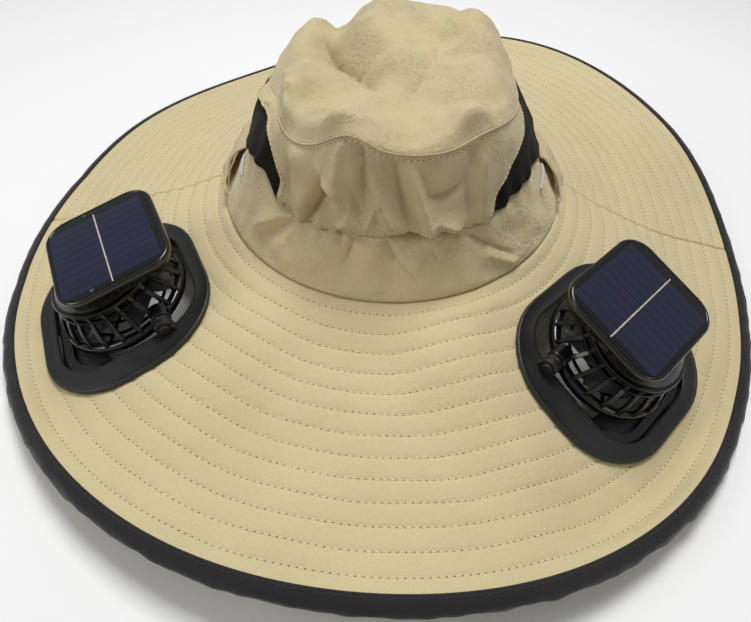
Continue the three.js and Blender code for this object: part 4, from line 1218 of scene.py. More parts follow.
def finish(slot):
    """The finish for a slot, made the first time it is asked for."""
    name = f"hat_{slot}"
    if name in bpy.data.materials:
        return bpy.data.materials[name]
    if slot in CLOTH_FINISHES:
        return cloth_material(name, **CLOTH_FINISHES[slot])
    if slot in PLASTIC_FINISHES:
        return plastic_material(name, **PLASTIC_FINISHES[slot])
    return {"vent_mesh": vent_material, "solar_cell": cell_material}[slot](name)


def dress(made, slot, *nodes, body="hat", material=None):
    """Gives a piece its finish, lets it stand for its CAD nodes and makes it ride on its body."""
    made.data.materials.clear()
    made.data.materials.append(finish(material or slot))
    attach(made, body)
    if nodes:
        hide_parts(*nodes)
    return made


def cut_cloth(made):
    """Looks up what a sheet of cloth was cut to and works out its area in square metres; nothing is kept."""
    width, length, area, held, rests_on = CUTS[made.name]
    area = area * MM * MM if area else None


def clear_of_fans(points, shape, margin):
    """Whether each point lies further outside the fans' frames or openings than a margin."""
    clear = np.ones(len(points), bool)
    for seat in SEATS.values():
        clear &= outside_outline(in_seat(points, seat), shape) > margin
    return clear


def ring_places():
    """Distances of the stitched rings from the seam."""
    pitch = bpy.context.scene.hat_sizes.ring_pitch / MM
    return np.arange(FIRST_RING, BRIM_REACH - pitch / 2, pitch)


def quilted_brim_point(azimuth, along):
    """The brim with its grooves along the stitched rings, and the cloth a little full between them."""
    sizes = bpy.context.scene.hat_sizes
    point = brim_point(azimuth, along)
    pitch = sizes.ring_pitch / MM
    from_ring = np.abs(np.mod(along - FIRST_RING + pitch / 2, pitch) - pitch / 2)
    groove = sizes.quilting / MM * np.exp(-((from_ring / RING_GROOVE) ** 1.5))
    groove = groove * (along > 0) * (along < BRIM_REACH - pitch / 2)
    full = RING_FULLNESS * np.sin(math.pi * np.clip(from_ring / (pitch / 2), 0, 1) / 2) ** 2
    free = smooth(along, 2, 20) * smooth(BRIM_REACH - along, 0, 12)
    for seat in SEATS.values():
        free = free * smooth(outside_outline(in_seat(point, seat), BEZEL), 0, 16)
    sway = BRIM_SWAY * BRIM_RIPPLES(point[..., 0], point[..., 1]) * free
    pucker = BRIM_PUCKER * PUCKERS(azimuth * (HALF_WIDTH + along), along * 0.25) * free
    point[..., 2] += full - groove + sway + pucker - BRIM_SKIN_DROP
    return point


def outward_line(surface, azimuth, other, outward):
    """Points and outward normals along a line on a surface of azimuth and one other measure."""
    here = surface(azimuth, other)
    ahead = surface(azimuth + 0.002, other)
    beyond = surface(azimuth, other + 0.02)
    normal = np.cross(ahead - here, beyond - here)
    normal = normal / np.linalg.norm(normal, axis=-1, keepdims=True)
    sign = np.sign((normal * outward).sum(-1, keepdims=True))
    normal = normal * np.where(sign == 0, 1, sign)
    return to_part(here), normal @ LEAN.T


class HAT_OT_brim(bpy.types.Operator):
    """Makes the two halves of the quilted brim"""

    bl_idname = "hat.brim"
    bl_label = "Brim"

    def execute(self, context):
        pitch = context.scene.hat_sizes.ring_pitch / MM
        rows = [-3.0, -1.0, 0.0, 1.6]
        for ring in ring_places():
            rows.extend(ring + step for step in (-1.5, -0.7, 0.0, 0.7, 1.5, pitch / 2 - 1.6, pitch / 2 + 1.6))
        rows = np.array(sorted(set(rows + [BRIM_REACH - 2.5, BRIM_REACH])))
        rows = rows[rows <= BRIM_REACH]
        margin = COLLAR_WALL + GAP
        cut = (OPENING[0] + 2 * margin, OPENING[1] + 2 * margin, OPENING[2] + margin)

        def outside_openings(centres):
            return clear_of_fans(centres, cut, OPENING_MARGIN)

        for name, start, end, keep in (
            ("brim_front", math.pi, 2 * math.pi, outside_openings),
            ("brim_back", 0, math.pi, None),
        ):
            angles = np.linspace(start + HALF_SEAM_GAP, end - HALF_SEAM_GAP, BRIM_COLUMNS)
            azimuth, along = np.meshgrid(angles, rows)
            points = quilted_brim_point(azimuth, along)
            edge = np.minimum(azimuth - start, end - azimuth) * (HALF_WIDTH + along)
            points[..., 2] -= HALF_SEAM_DEPTH * np.exp(-((edge / 1.1) ** 2))
            uv = np.stack([azimuth * (HALF_WIDTH + along), along], -1)
            made = cloth_piece(f"{name}_cloth", points, uv, BRIM_SKIN, keep=keep, flip=True)
            dress(made, "brim_cloth", name)
            cut_cloth(made)
        return {"FINISHED"}


class HAT_OT_brim_stitches(bpy.types.Operator):
    """Sews the rings of stitches round the brim"""

    bl_idname = "hat.brim_stitches"
    bl_label = "Brim stitches"

    def execute(self, context):
        for name, start, end in (("front", math.pi, 2 * math.pi), ("back", 0, math.pi)):
            lines = []
            for ring in ring_places():
                azimuth = np.linspace(start + 0.004, end - 0.004, 400)
                wander = ring + 0.12 * np.sin(azimuth * 23 + ring)
                points, normals = outward_line(quilted_brim_point, azimuth, wander, np.array((0.0, 0.0, 1.0)))
                clear = clear_of_fans(brim_point(azimuth, wander), BEZEL, STITCH_MARGIN)
                breaks = np.flatnonzero(np.diff(clear.astype(int))) + 1
                for part in np.split(np.arange(len(azimuth)), breaks):
                    if clear[part[0]] and len(part) > 3:
                        lines.append((points[part] + normals[part] * 0.00008, normals[part]))
            stitch_piece(f"brim_{name}_stitches", lines, context.scene.hat_sizes.stitch_pitch)
        return {"FINISHED"}


class HAT_OT_binding(bpy.types.Operator):
    """Rolls the binding over the edge of the brim and sews it down"""

    bl_idname = "hat.binding"
    bl_label = "Binding"

    def execute(self, context):
        sizes = context.scene.hat_sizes
        out, drop = sizes.binding_roll / MM, sizes.binding_drop / MM
        section = np.array(BINDING_SECTION)
        azimuth = np.linspace(0, 2 * math.pi, BINDING_COLUMNS, endpoint=False)
        edge = brim_point(azimuth, BRIM_REACH)
        outward = oval_outward(azimuth)
        pull = Ripples(31, 9, 22, 12)
        round_it = azimuth * (HALF_WIDTH + BRIM_REACH)
        rows = []
        for share_out, share_down in section:
            place_in_section = np.full(BINDING_COLUMNS, share_out * out + share_down * drop * 2)
            wave = BINDING_WAVE * pull(round_it, place_in_section)
            wave = wave * smooth(share_out, 0.1, 0.8)
            row = edge + outward * (GAP + share_out * out + wave)[..., None]
            row[..., 2] -= share_down * drop + wave * 0.5
            rows.append(row)
        points, faces = loft(rows, closed=True)
        steps = np.linalg.norm(np.diff(section * (out, drop), axis=0), axis=1)
        lengths = np.concatenate([[0], np.cumsum(steps)])
        uv = np.stack(np.broadcast_arrays(round_it[None, :], lengths[:, None]), -1).reshape(-1, 2) * MM
        made = mesh_object("brim_binding_cloth", to_part(points), faces, uv)
        face_outwards(made)
        dress(made, "binding_cloth", "brim_binding")
        cut_cloth(made)
        line = edge + outward * (GAP + 0.12 * out)
        line[:, 2] += 0.072 * drop
        line = np.concatenate([line, line[:1]])
        normals = np.tile((0.0, 0.0, 1.0), (len(line), 1))
        sewn = [(to_part(line), normals)]
        thread = "binding_thread"
        stitch_piece("binding_stitches", sewn, BINDING_STITCH, 0.85, thread, thread)
        return {"FINISHED"}


def crown_uv(azimuth, level, radius=CROWN_RADIUS):
    return np.stack([azimuth * radius, level * WALL_RISE], -1)


class HAT_OT_crown_band(bpy.types.Operator):
    """Makes the band of the crown between the brim and the gathers"""

    bl_idname = "hat.crown_band"
    bl_label = "Crown band"

    def execute(self, context):
        angles = np.linspace(0, 2 * math.pi, BAND_COLUMNS, endpoint=False)
        levels = np.concatenate([[0.0, 0.01, 0.03, 0.05], np.linspace(0.08, 0.985, 38), [1.0, 1.015]])
        azimuth, level = np.meshgrid(angles, levels)
        points = crown_point(azimuth, level, inset=BAND_TUCK * smooth(level, 0.975, 1.015))
        points[..., 2] += GAP * (1 - smooth(level, 0, 0.5))
        made = cloth_piece("crown_band_cloth", points, crown_uv(azimuth, level), CROWN_SKIN, closed=True)
        # the band wears the crown's cloth painted lighter: painted light
        dress(made, "crown_cloth", "crown_band", material="band_cloth")
        cut_cloth(made)
        return {"FINISHED"}


def panel_grid(from_edge, to_edge, turns, columns, rows):
    """Azimuths and levels all over a piece of the crown's wall, between two edges of the vents."""
    level = np.linspace(1.0, SEAM_LEVEL, rows)
    start = edge_angle(from_edge, level - 1) + 0.002
    end = edge_angle(to_edge, level - 1) + turns * 2 * math.pi - 0.002
    share = np.linspace(0, 1, columns)
    azimuth = start[:, None] + (end - start)[:, None] * share[None, :]
    return azimuth, np.broadcast_to(level[:, None], azimuth.shape)


class HAT_OT_crown_wall(bpy.types.Operator):
    """Makes the front and back panels of the crown's wall"""

    bl_idname = "hat.crown_wall"
    bl_label = "Crown wall"

    def execute(self, context):
        for name, from_edge, to_edge in (
            ("crown_front", "left_front", "right_front"),
            ("crown_back", "right_back", "left_back"),
        ):
            azimuth, level = panel_grid(from_edge, to_edge, 0, *WALL_GRID)
            points = crown_point(azimuth, level)
            edge = np.minimum(azimuth - azimuth[:, :1], azimuth[:, -1:] - azimuth) * 78
            rolled = ROLLED_EDGE * smooth(edge, 0.0, 0.8) * (1 - smooth(edge, 1.6, 3.2))
            points = points + oval_outward(azimuth) * rolled[..., None]
            made = cloth_piece(f"{name}_cloth", points, crown_uv(azimuth, level), CROWN_SKIN)
            dress(made, "crown_cloth", name)
            cut_cloth(made)
        return {"FINISHED"}


class HAT_OT_vents(bpy.types.Operator):
    """Makes the mesh vents in the sides of the crown"""

    bl_idname = "hat.vents"
    bl_label = "Vents"

    def execute(self, context):
        for name, from_edge, to_edge, turns in (
            ("vent_left", "left_back", "left_front", 0),
            ("vent_right", "right_front", "right_back", 1),
        ):
            azimuth, level = panel_grid(from_edge, to_edge, turns, *VENT_GRID)
            points = crown_point(azimuth, level, inset=0.5)
            made = cloth_piece(f"{name}_mesh", points, crown_uv(azimuth, level), VENT_SKIN)
            dress(made, "vent_mesh", name)
            cut_cloth(made)
        return {"FINISHED"}


class HAT_OT_crown_top(bpy.types.Operator):
    """Makes the creased top of the crown and the roll of its seam"""

    bl_idname = "hat.crown_top"
    bl_label = "Crown top"

    def execute(self, context):
        angles = np.linspace(0, 2 * math.pi, TOP_COLUMNS, endpoint=False)
        inward = np.concatenate([np.linspace(0.0, 0.12, 9), np.linspace(0.14, 0.985, 58)])
        azimuth, depth = np.meshgrid(angles, inward)
        points = top_point(azimuth, depth)
        faces = grid_faces(len(inward), TOP_COLUMNS, True).tolist()
        last = (len(inward) - 1) * TOP_COLUMNS
        faces.append(tuple(range(last, last + TOP_COLUMNS)))
        flat = points.reshape(-1, 3)
        made = mesh_object("crown_top_cloth", to_part(flat), faces, flat[:, :2] * MM)
        thicken(made, CROWN_SKIN)
        dress(made, "crown_cloth", "crown_top")
        cut_cloth(made)
        roll = []
        seam = crown_point(angles, 2.0)
        outward = oval_outward(angles)
        for angle in np.linspace(0, 2 * math.pi, 8, endpoint=False):
            point = seam + outward * (0.2 + 0.5 * math.cos(angle))
            point[:, 2] += 0.1 + 0.5 * math.sin(angle)
            roll.append(point)
        points, faces = loft(np.stack(roll, 1), closed=True)
        seam_roll = mesh_object("crown_seam_roll", to_part(points), faces, points[:, :2] * MM)
        face_outwards(seam_roll)
        dress(seam_roll, "crown_cloth")
        return {"FINISHED"}


class HAT_OT_crown_stitches(bpy.types.Operator):
    """Sews the crown's top seam, the edges of its vents and its gathers"""

    bl_idname = "hat.crown_stitches"
    bl_label = "Crown stitches"

    def execute(self, context):
        lines = []
        for from_edge, to_edge in (("left_front", "right_front"), ("right_back", "left_back")):
            for edge_share, level, off in ((0.95, 1.95, 0.06), (0.03, 1.045, 0.1)):
                start, end = edge_angle(from_edge, edge_share) + 0.03, edge_angle(to_edge, edge_share) - 0.03
                lines.append(self.line(np.linspace(start, end, 260), np.full(260, level), off))
            for edge, inside in ((from_edge, 0.032), (to_edge, -0.032)):
                level = np.linspace(1.03, 1.93, 90)
                lines.append(self.line(edge_angle(edge, level - 1) + inside, level, 0.62))
        stitch_piece("crown_stitches", lines, CROWN_STITCH, 0.8)
        return {"FINISHED"}

    @staticmethod
    def line(azimuth, level, off):
        def outer_face(azimuth, level):
            return crown_point(azimuth, level, inset=-off)

        return outward_line(outer_face, azimuth, level, oval_outward(azimuth))


class HAT_OT_side_loops(bpy.types.Operator):
    """Makes the flap loops at the sides of the band and the piping that comes out of them"""

    bl_idname = "hat.side_loops"
    bl_label = "Side loops"

    def execute(self, context):
        for side, middle, frontward in (("left", math.pi, 1), ("right", 0.0, -1)):
            share = np.linspace(0, 1, 30)
            height = np.interp(share, np.linspace(0, 1, len(LOOP_HEIGHT)), LOOP_HEIGHT)
            off = np.interp(height, LOOP_HEIGHT, LOOP_OFF)
            off = np.sin(np.clip(off, 0, 1) * math.pi / 2) ** 0.8
            front = np.radians(np.interp(height, LOOP_HEIGHT, LOOP_FRONT))
            column = np.linspace(0, 1, 24)
            start = middle + front * frontward
            end = middle - math.radians(LOOP_BACK) * frontward
            azimuth = start[:, None] + (end - start[:, None]) * column[None, :]
            level = np.broadcast_to(height[:, None], azimuth.shape)
            stand = 2 * GAP + LOOP_CLOTH + off[:, None] * LOOP_STAND * (1 - 0.25 * column[None, :] ** 2)
            stand = stand + 0.18 * WALL_RIPPLES(azimuth * HALF_WIDTH * 2, level * WALL_RISE * 2)
            points = crown_point(azimuth, level, inset=-stand)
            uv = crown_uv(azimuth, level, HALF_WIDTH)
            made = cloth_piece(f"side_loop_{side}_cloth", points, uv, LOOP_CLOTH, flip=frontward > 0)
            dress(made, "crown_cloth", f"side_loop_{side}")
            cut_cloth(made)
            step = np.linspace(0, 1, 24)
            height = np.interp(step, np.linspace(0, 1, 4), PIPING_HEIGHT)
            run = middle + np.radians(np.interp(step, np.linspace(0, 1, 4), PIPING_FRONT)) * frontward
            turn = PIPING_WIDTH / 2 / HALF_WIDTH
            loops = []
            for at, level in zip(run, height):
                section = []
                for angle in np.linspace(0, 2 * math.pi, 10, endpoint=False):
                    aside = at + turn * math.cos(angle)
                    out = -(GAP + 0.75 + 0.7 * math.sin(angle))
                    section.append(crown_point(aside, level, inset=out))
                loops.append(np.array(section))
            points, faces = loft(loops)
            piping = mesh_object(f"loop_piping_{side}_strip", to_part(points), faces)
            face_outwards(piping)
            dress(piping, "piping_cloth", f"loop_piping_{side}")
        return {"FINISHED"}


def fan_object(name, side, parts, sharp=35):
    """One piece from several bodies in a fan's own frame."""
    points, faces = combine(parts)
    made = mesh_object(name, fan_to_part(points, side), faces, sharp=sharp)
    face_outwards(made)
    return made


def about_cage(parts):
    """Parts that were made round the Z axis, moved to the middle of the guard."""
    return [(points - np.array((CAGE_INWARD, 0, 0)), faces) for points, faces in parts]


def hinge_rod(radius, start, end, count, bevel):
    """A round bar along the hinge axis, with rounded ends."""
    low, high = sorted((start, end))
    profile = ((radius - bevel, low), (radius, low + bevel), (radius, high - bevel), (radius - bevel, high))
    points, faces = turned_body(profile, count)
    points = np.column_stack([points[:, 0] - HINGE_INWARD, points[:, 2], HINGE_RISE - points[:, 1]])
    return points, faces


def block(low, high, bevel=0.5):
    """A box with bevelled edges."""
    low, high = np.array(low, float), np.array(high, float)
    middle = (low + high) / 2
    size = high - low
    loops = []
    for height, inset in ((low[2], bevel), (low[2] + bevel, 0), (high[2] - bevel, 0), (high[2], bevel)):
        loop = outline(size[0] - 2 * inset, size[1] - 2 * inset, max(bevel, 0.3), height, arc=2, side=2)
        loops.append(loop + np.array((middle[0], middle[1], 0)))
    return loft(loops)


class HAT_OT_bezels(bpy.types.Operator):
    """Makes the frames that hold the fans in the brim, above and below the cloth"""

    bl_idname = "hat.bezels"
    bl_label = "Fan frames"

    def execute(self, context):
        for side in SIDES:
            made = fan_object(f"fan_{side}_frame", side, self.frame_parts())
            dress(made, "matte_plastic", f"fan_{side}_bezel")
            made.data.materials.append(finish("gloss_plastic"))
            start, end = (step * len(outline(*OPENING)) for step in COLLAR_STEPS)
            for face in made.data.polygons[start:end]:
                face.material_index = 1
            clamp = fan_object(f"fan_{side}_clamp_ring", side, [self.clamp()])
            dress(clamp, "matte_plastic", f"fan_{side}_clamp")
        return {"FINISHED"}

    @staticmethod
    def edge(inset, height):
        return outline(BEZEL[0] - 2 * inset, BEZEL[1] - 2 * inset, BEZEL[2] - inset, height)

    @staticmethod
    def mouth(grow, height):
        return outline(OPENING[0] + 2 * grow, OPENING[1] + 2 * grow, OPENING[2] + grow, height)

    def frame_parts(self):
        """The frame with its collar, a lip and a ledge at the collar's outer end, and two hinge lugs."""
        edge, mouth = self.edge, self.mouth
        wall = mouth(0, 0)
        lip_share, ledge_share = smooth(wall[:, :1], 4.0, 20.0), smooth(wall[:, :1], 12.0, 24.0)
        lip = wall * (1 - lip_share) + mouth(-LIP, 0) * lip_share
        middle = np.array((-CAGE_INWARD, 0, 0))
        away = (wall - middle) / np.linalg.norm(wall - middle, axis=1, keepdims=True)
        ledge = wall * (1 - ledge_share) + (away * LEDGE_RADIUS + middle) * ledge_share
        loops = [ledge + (0, 0, -COLLAR_DEPTH), ledge + (0, 0, -3.6), lip + (0, 0, -3.4), lip + (0, 0, -0.8)]
        loops += [lip * 0.15 + wall * 0.85 + (0, 0, -0.2)]
        loops += [mouth(*step) for step in MOUTH_STEPS]
        for share in (0.12, 0.3, 0.5, 0.7, 0.88):
            dish = 2.6 - 0.3 * math.sin(math.pi * share)
            loops.append(mouth(1.2, dish) * (1 - share) + edge(1.9, dish) * share)
        loops += [edge(*step) for step in RIM_STEPS]
        loops += [mouth(COLLAR_WALL + 1, GAP), mouth(COLLAR_WALL, 0), mouth(COLLAR_WALL, -COLLAR_DEPTH)]
        parts = [loft(loops, closed=True)]
        for end in (-1, 1):
            start, finish_at = (EAR_REACH + GAP) * end, (EAR_REACH + GAP + LUG_WALL) * end
            clip = (EAR_REACH + 2.2) * end, (EAR_REACH + 4.4) * end
            parts.append(self.lug_block(LUG_RADIUS, (start, finish_at), 1.2, HINGE_RISE - 0.6, 0.7))
            parts.append(hinge_rod(LUG_RADIUS, start, finish_at, 36, 0.7))
            parts.append(hinge_rod(LUG_CAP_RADIUS, finish_at - 0.4 * end, finish_at + 1.6 * end, 24, 0.5))
            parts.append(self.lug_block(CLIP_HALF_WIDTH, clip, HINGE_RISE + 3.6, HINGE_RISE + 6.2, 0.4))
        return parts

    @staticmethod
    def lug_block(half_reach, ends, low, high, bevel):
        start, end = sorted(ends)
        corner, opposite = (-HINGE_INWARD - half_reach, start, low), (-HINGE_INWARD + half_reach, end, high)
        return block(corner, opposite, bevel)

    def clamp(self):
        """The ring that clamps the cloth from below."""
        grow, width = COLLAR_WALL + GAP, CLAMP_WIDTH
        top, bottom = -BRIM_CLOTH - GAP, -BRIM_CLOTH - GAP - CLAMP_DEPTH
        steps = (
            (0, bottom + 0.4), (0, top), (width, top), (width, bottom + 0.7), (width - 0.7, bottom),
            (0.4, bottom),
        )
        return loft([self.mouth(grow + inset, height) for inset, height in steps], closed=True)


class HAT_OT_cages(bpy.types.Operator):
    """Makes the fan guards with their bars, grille, motor and hinge ears"""

    bl_idname = "hat.cages"
    bl_label = "Fan guards"

    def execute(self, context):
        for side in SIDES:
            made = fan_object(f"fan_{side}_guard", side, self.guard_parts(-FANS[side]["front"]), sharp=40)
            dress(made, "gloss_plastic", f"fan_{side}_cage", body=f"fan_{side}")
        return {"FINISHED"}

    def guard_parts(self, lean):
        """The guard's ring, shelf, cap, motor, grille, ribs and hinge ears."""
        low, high = CAGE_SEAT, CAGE_SEAT + CAGE_HEIGHT
        shelf_radius = CAGE_TOP_RADIUS + 0.6
        cap_low = high - CAGE_CAP
        motor_low = cap_low - MOTOR_DEPTH
        ring = (
            (CAGE_RADIUS - 4.2, low), (CAGE_RADIUS - 0.7, low), (CAGE_RADIUS, low + 0.7),
            (CAGE_RADIUS, low + 3.2), (CAGE_RADIUS - 0.5, low + 4.4), (CAGE_RADIUS - 1.6, low + 5.0),
            (CAGE_RADIUS - 4.2, low + 5.0),
        )
        shelf = (
            (shelf_radius - 2.2, high - 6.2), (shelf_radius - 0.2, high - 6.2), (shelf_radius, high - 5.8),
            (shelf_radius, high - 5.0), (shelf_radius - 0.3, high - 4.7), (shelf_radius - 2.2, high - 4.7),
        )
        cap = (
            (2.0, cap_low), (CAGE_TOP_RADIUS - 0.4, cap_low), (CAGE_TOP_RADIUS, cap_low + 0.4),
            (CAGE_TOP_RADIUS, high - 0.4), (CAGE_TOP_RADIUS - 0.4, high), (2.0, high),
        )
        motor = ((MOTOR_RADIUS - 0.6, motor_low), (MOTOR_RADIUS, motor_low + 0.6), (MOTOR_RADIUS, high - 1))
        hub = ((6.2, low), (7.0, low + 0.5), (7.0, low + 1.3), (6.4, low + 1.7))
        parts = [turned_body(ring, 96, closed=True), turned_body(shelf, 96, closed=True)]
        parts += [turned_body(cap, 96), turned_body(motor, 40), turned_body(hub, 40)]
        height = np.linspace(low + 3.4, high - 5.6, 9)
        share = (height - height[0]) / (height[-1] - height[0])
        radius = CAGE_RADIUS - 1.6 + share * (shelf_radius - CAGE_RADIUS + 0.3)
        radius = radius + 0.9 * np.sin(math.pi * share)
        parts.append(self.ribs(lean * np.linspace(0, 0.07, 9), radius, height, RIB_WIDTH, RIB_DEPTH))
        radius = np.array((shelf_radius - 1.2, CAGE_TOP_RADIUS - 1.0))
        height = np.array((high - 5.4, high - 1.0))
        parts.append(self.ribs(np.array((0.07, 0.09)) * lean, radius, height, 2.0, 1.6))
        path = np.column_stack([np.linspace(6.0, CAGE_RADIUS - 3.4, 6), np.zeros(6), np.full(6, low + 0.8)])
        parts.append(round_row(*bar_body(path, np.tile((0.0, 1.0, 0.0), (6, 1)), 1.6, 1.6), 6))
        for radius in GRILLE_RADII:
            inner, outer, base, top = radius - 0.6, radius + 0.6, low + 0.2, low + 1.4
            thin = ((inner, base), (outer, base), (outer, top), (inner, top))
            parts.append(turned_body(thin, 64, closed=True))
        parts = about_cage(parts)
        ear_from = math.sqrt((CAGE_RADIUS - 2.1) ** 2 - (HINGE_INWARD - CAGE_INWARD + 2.5) ** 2)
        for end in (-1, 1):
            parts.append(hinge_rod(EAR_RADIUS, ear_from * end, EAR_REACH * end, 40, 0.5))
            parts.append(hinge_rod(PIN_RADIUS, (EAR_REACH - 1) * end, (EAR_REACH + GAP / 2) * end, 28, 0.1))
        return parts

    @staticmethod
    def ribs(angle, radius, height, width, depth):
        path = np.column_stack([radius * np.cos(angle), radius * np.sin(angle), height])
        across = np.column_stack([-np.sin(angle), np.cos(angle), np.zeros(len(angle))])
        return round_row(*bar_body(path, across, width, depth), RIB_COUNT)


class HAT_OT_rotors(bpy.types.Operator):
    """Makes the fan rotors with their pitched blades"""

    bl_idname = "hat.rotors"
    bl_label = "Rotors"

    def execute(self, context):
        high = CAGE_SEAT + CAGE_HEIGHT - CAGE_CAP - MOTOR_DEPTH - GAP
        middle = high - HUB_HEIGHT / 2
        hub = (
            (HUB_RADIUS - 1.6, high - HUB_HEIGHT), (HUB_RADIUS - 0.4, high - HUB_HEIGHT + 0.4),
            (HUB_RADIUS, high - HUB_HEIGHT + 1.4), (HUB_RADIUS, high - 0.5), (HUB_RADIUS - 0.6, high),
        )
        for side in SIDES:
            loops = [self.blade_section(share, middle) for share in np.linspace(0, 1, 12)]
            parts = about_cage([turned_body(hub, 48), round_row(*loft(loops), BLADE_COUNT)])
            made = fan_object(f"fan_{side}_impeller", side, parts)
            dress(made, "blade_plastic", f"fan_{side}_rotor", body=f"rotor_{side}")
        return {"FINISHED"}

    @staticmethod
    def blade_section(share, middle):
        """A blade in section, from its root at 0 to its tip at 1."""
        chord = BLADE_ROOT_CHORD + (BLADE_CHORD - BLADE_ROOT_CHORD) * math.sin(math.pi / 2 * share)
        pitch = math.radians(BLADE_PITCH + BLADE_TWIST * (1 - share))
        section = []
        for u, v in BLADE_SECTION:
            along, lift = u * chord / 2, v * BLADE_HALF_THICKNESS + BLADE_CAMBER * (1 - u * u)
            height = middle + along * math.sin(pitch) + lift * math.cos(pitch) - BLADE_DROP * share
            tip = BLADE_TIP - BLADE_TAPER * (height - CAGE_SEAT - 4)
            radius = HUB_RADIUS - 1.5 + (tip - HUB_RADIUS + 1.5) * share
            turn = (along * math.cos(pitch) - lift * math.sin(pitch)) / radius
            section.append((radius * math.cos(turn), radius * math.sin(turn), height))
        return section


def panel_place(points, side):
    """From the panel's own frame to the fan's."""
    lean = turn_about((1, 0, 0), -FANS[side]["front"] * math.radians(PANEL_LEAN_FORWARD))
    lean = lean @ turn_about((0, 1, 0), -math.radians(PANEL_LEAN_INWARD))
    return np.asarray(points) @ lean.T + np.array((-PANEL_INWARD, 0, PANEL_TOP))


class HAT_OT_panels(bpy.types.Operator):
    """Makes the solar panels, their cells and the tapered housings below them"""

    bl_idname = "hat.panels"
    bl_label = "Solar panels"

    def execute(self, context):
        for side in SIDES:
            body = f"fan_{side}"
            housing = fan_object(f"fan_{side}_housing_shell", side, [self.housing(side)])
            dress(housing, "matte_plastic", f"fan_{side}_housing", body=body)
            points, faces = self.rim()
            rim = fan_object(f"fan_{side}_panel_rim", side, [(panel_place(points, side), faces)])
            dress(rim, "gloss_plastic", f"fan_{side}_panel", body=body)
            self.cell(side, body)
        return {"FINISHED"}

    @staticmethod
    def rim():
        steps = (
            (6.0, -CELL_DEPTH), (PANEL_RIM + 0.1, -CELL_DEPTH), (PANEL_RIM - 0.1, -0.2),
            (PANEL_RIM - 0.4, 0.0), (1.1, 0.0), (0.7, -0.1), (0.3, -0.4), (0.05, -0.9), (0.0, -1.5),
            (0.0, -2.6), (0.3, -3.2), (0.8, -3.6), (1.0, -4.2), (1.5, -5.6), (2.2, -7.4),
            (2.6, -PANEL_DEPTH), (6.0, -PANEL_DEPTH),
        )
        return loft(
            [
                outline(PANEL[0] - 2 * inset, PANEL[1] - 2 * inset, max(PANEL[2] - inset, 1.0), height)
                for inset, height in steps
            ]
        )

    @staticmethod
    def housing(side):
        foot_height = CAGE_SEAT + CAGE_HEIGHT + GAP
        head = outline(PANEL[0] - 2 * HOUSING_INSET, PANEL[1] - 2 * HOUSING_INSET, PANEL[2])
        angle = np.arctan2(head[:, 1], head[:, 0])
        height = np.full(len(head), foot_height)
        foot = np.column_stack(
            [HOUSING_FOOT * np.cos(angle) - CAGE_INWARD, HOUSING_FOOT * np.sin(angle), height]
        )
        shoulder = panel_place(head - np.array((0, 0, PANEL_DEPTH + GAP)), side)
        loops = [foot * (0.985, 0.985, 1)]
        for share in (0.06, 0.2, 0.4, 0.6, 0.78, 0.92, 1.0):
            curve = share**1.5
            loop = foot * (1 - curve) + shoulder * curve
            loop[:, 2] = foot[:, 2] + (shoulder[:, 2] - foot[:, 2]) * share
            loops.append(loop)
        return loft(loops)

    @staticmethod
    def cell(side, body):
        reach, span = PANEL[0] - 2 * PANEL_RIM - 0.6, PANEL[1] - 2 * PANEL_RIM - 0.6
        corner = PANEL[2] - PANEL_RIM - GAP
        loops = [outline(reach, span, corner, -CELL_DEPTH + 0.1), outline(reach, span, corner, -0.2)]
        loops += [outline(reach - 1.4, span - 1.4, corner - 0.7, -0.08)]
        loops += [outline(reach * 0.5, span * 0.5, corner * 0.5, 0.0)]
        points, faces = loft(loops)
        uv = (points[:, :2] - np.array(CELL_OFFSET[side])) * MM
        points = fan_to_part(panel_place(points, side), side)
        made = mesh_object(f"fan_{side}_cell_glass", points, faces, uv, sharp=35)
        face_outwards(made)
        dress(made, "solar_cell", f"fan_{side}_cell", body=body)
        dots = []
        for at in PANEL_DOTS[side]:
            points, faces = turned_body(((PANEL_DOT, -0.3), (PANEL_DOT, 0.04), (PANEL_DOT - 0.3, 0.12)), 24)
            dots.append((panel_place(points + np.array((*at, 0)), side), faces))
        if dots:
            made = fan_object(f"fan_{side}_panel_dots", side, dots)
            dress(made, "piping_cloth", body=body, material="dull_metal")


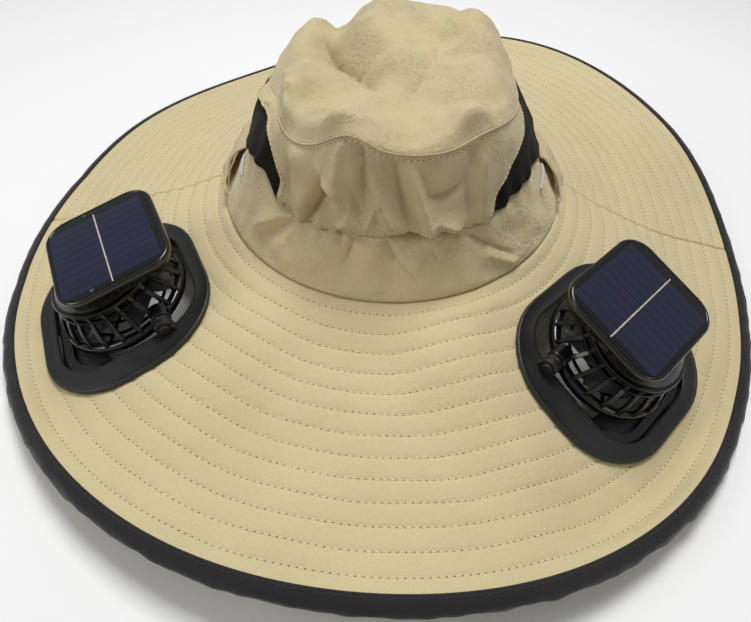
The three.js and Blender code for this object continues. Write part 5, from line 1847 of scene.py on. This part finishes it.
class HAT_OT_stage(bpy.types.Operator):
    """Sets up the floor, the light and the camera"""

    bl_idname = "hat.stage"
    bl_label = "Stage"

    def execute(self, context):
        settings = context.scene.hat_stage
        floor = mesh_object("floor", ((-6, -6, 0), (6, -6, 0), (6, 6, 0), (-6, 6, 0)), ((0, 1, 2, 3),))
        material, source = new_material("floor_paper")
        tree = material.node_tree
        surface = {
            "Base Color": (*settings.floor, 1.0),
            "Roughness": 0.7,
            "Normal": bump(tree, noise(tree, source["Object"], 400.0, 2.0), 0.0001, 0.2),
        }
        end_material(material, surface)
        floor.data.materials.append(material)
        world = bpy.data.worlds.new("studio_world")
        world.use_nodes = True
        background = world.node_tree.nodes["Background"]
        background.inputs["Color"].default_value = (1.0, 1.0, 1.0, 1)
        background.inputs["Strength"].default_value = settings.sky
        context.scene.world = world
        for name, (strength, place_at, size) in LIGHTS.items():
            self.light(name, getattr(settings, strength), place_at, size)
        camera = bpy.data.cameras.new("camera")
        camera.lens = CAMERA_LENS
        camera.sensor_width = 36
        camera.clip_start = 0.01
        viewer = linked("camera", camera)
        azimuth, elevation, roll = map(math.radians, (CAMERA_AZIMUTH, CAMERA_ELEVATION, CAMERA_ROLL))
        reach = math.cos(elevation)
        back = np.array((math.sin(azimuth) * reach, -math.cos(azimuth) * reach, math.sin(elevation)))
        right = np.array((math.cos(azimuth), math.sin(azimuth), 0))
        up = np.cross(back, right)
        rolled_right = math.cos(roll) * right + math.sin(roll) * up
        rolled_up = -math.sin(roll) * right + math.cos(roll) * up
        axes = LEAN @ np.stack([rolled_right, rolled_up, back], 1)
        matrix = Matrix(axes.tolist()).to_4x4()
        matrix.translation = Vector(to_part(np.array(CAMERA_EYE)))
        viewer.matrix_world = matrix
        context.scene.camera = viewer
        context.scene.view_settings.view_transform = "Standard"
        return {"FINISHED"}

    @staticmethod
    def light(name, power, place_at, size):
        data = bpy.data.lights.new(name, "AREA")
        data.energy = power
        data.size = size
        lamp = linked(name, data)
        lamp.location = place_at
        lamp.rotation_euler = (-Vector(place_at)).to_track_quat("-Z", "Y").to_euler()


PIECES = (
    HAT_OT_stage,
    HAT_OT_brim,
    HAT_OT_brim_stitches,
    HAT_OT_binding,
    HAT_OT_crown_band,
    HAT_OT_crown_wall,
    HAT_OT_vents,
    HAT_OT_crown_top,
    HAT_OT_crown_stitches,
    HAT_OT_side_loops,
    HAT_OT_bezels,
    HAT_OT_cages,
    HAT_OT_rotors,
    HAT_OT_panels,
)


class HAT_PT_pieces(bpy.types.Panel):
    """Lists the pieces of the hat"""

    bl_idname = "HAT_PT_pieces"
    bl_label = "Solar fan hat"
    bl_space_type = "VIEW_3D"
    bl_region_type = "UI"
    bl_category = "Hat"

    def draw(self, context):
        layout = self.layout
        for group in (context.scene.hat_sizes, context.scene.hat_colours, context.scene.hat_stage):
            box = layout.box()
            for name in group.__annotations__:
                box.prop(group, name)
        for operator in PIECES:
            layout.operator(operator.bl_idname)


GROUPS = {"hat_sizes": HatSizes, "hat_colours": HatColours, "hat_stage": StageSettings}


def register():
    for name, group in GROUPS.items():
        bpy.utils.register_class(group)
        setattr(bpy.types.Scene, name, bpy.props.PointerProperty(type=group))
    for operator in PIECES:
        bpy.utils.register_class(operator)
    bpy.utils.register_class(HAT_PT_pieces)


def unregister():
    bpy.utils.unregister_class(HAT_PT_pieces)
    for operator in reversed(PIECES):
        bpy.utils.unregister_class(operator)
    for name, group in GROUPS.items():
        delattr(bpy.types.Scene, name)
        bpy.utils.unregister_class(group)


def main():
    register()
    for operator in PIECES:
        family, name = operator.bl_idname.split(".")
        getattr(getattr(bpy.ops, family), name)()


if __name__ == "__main__":
    main()
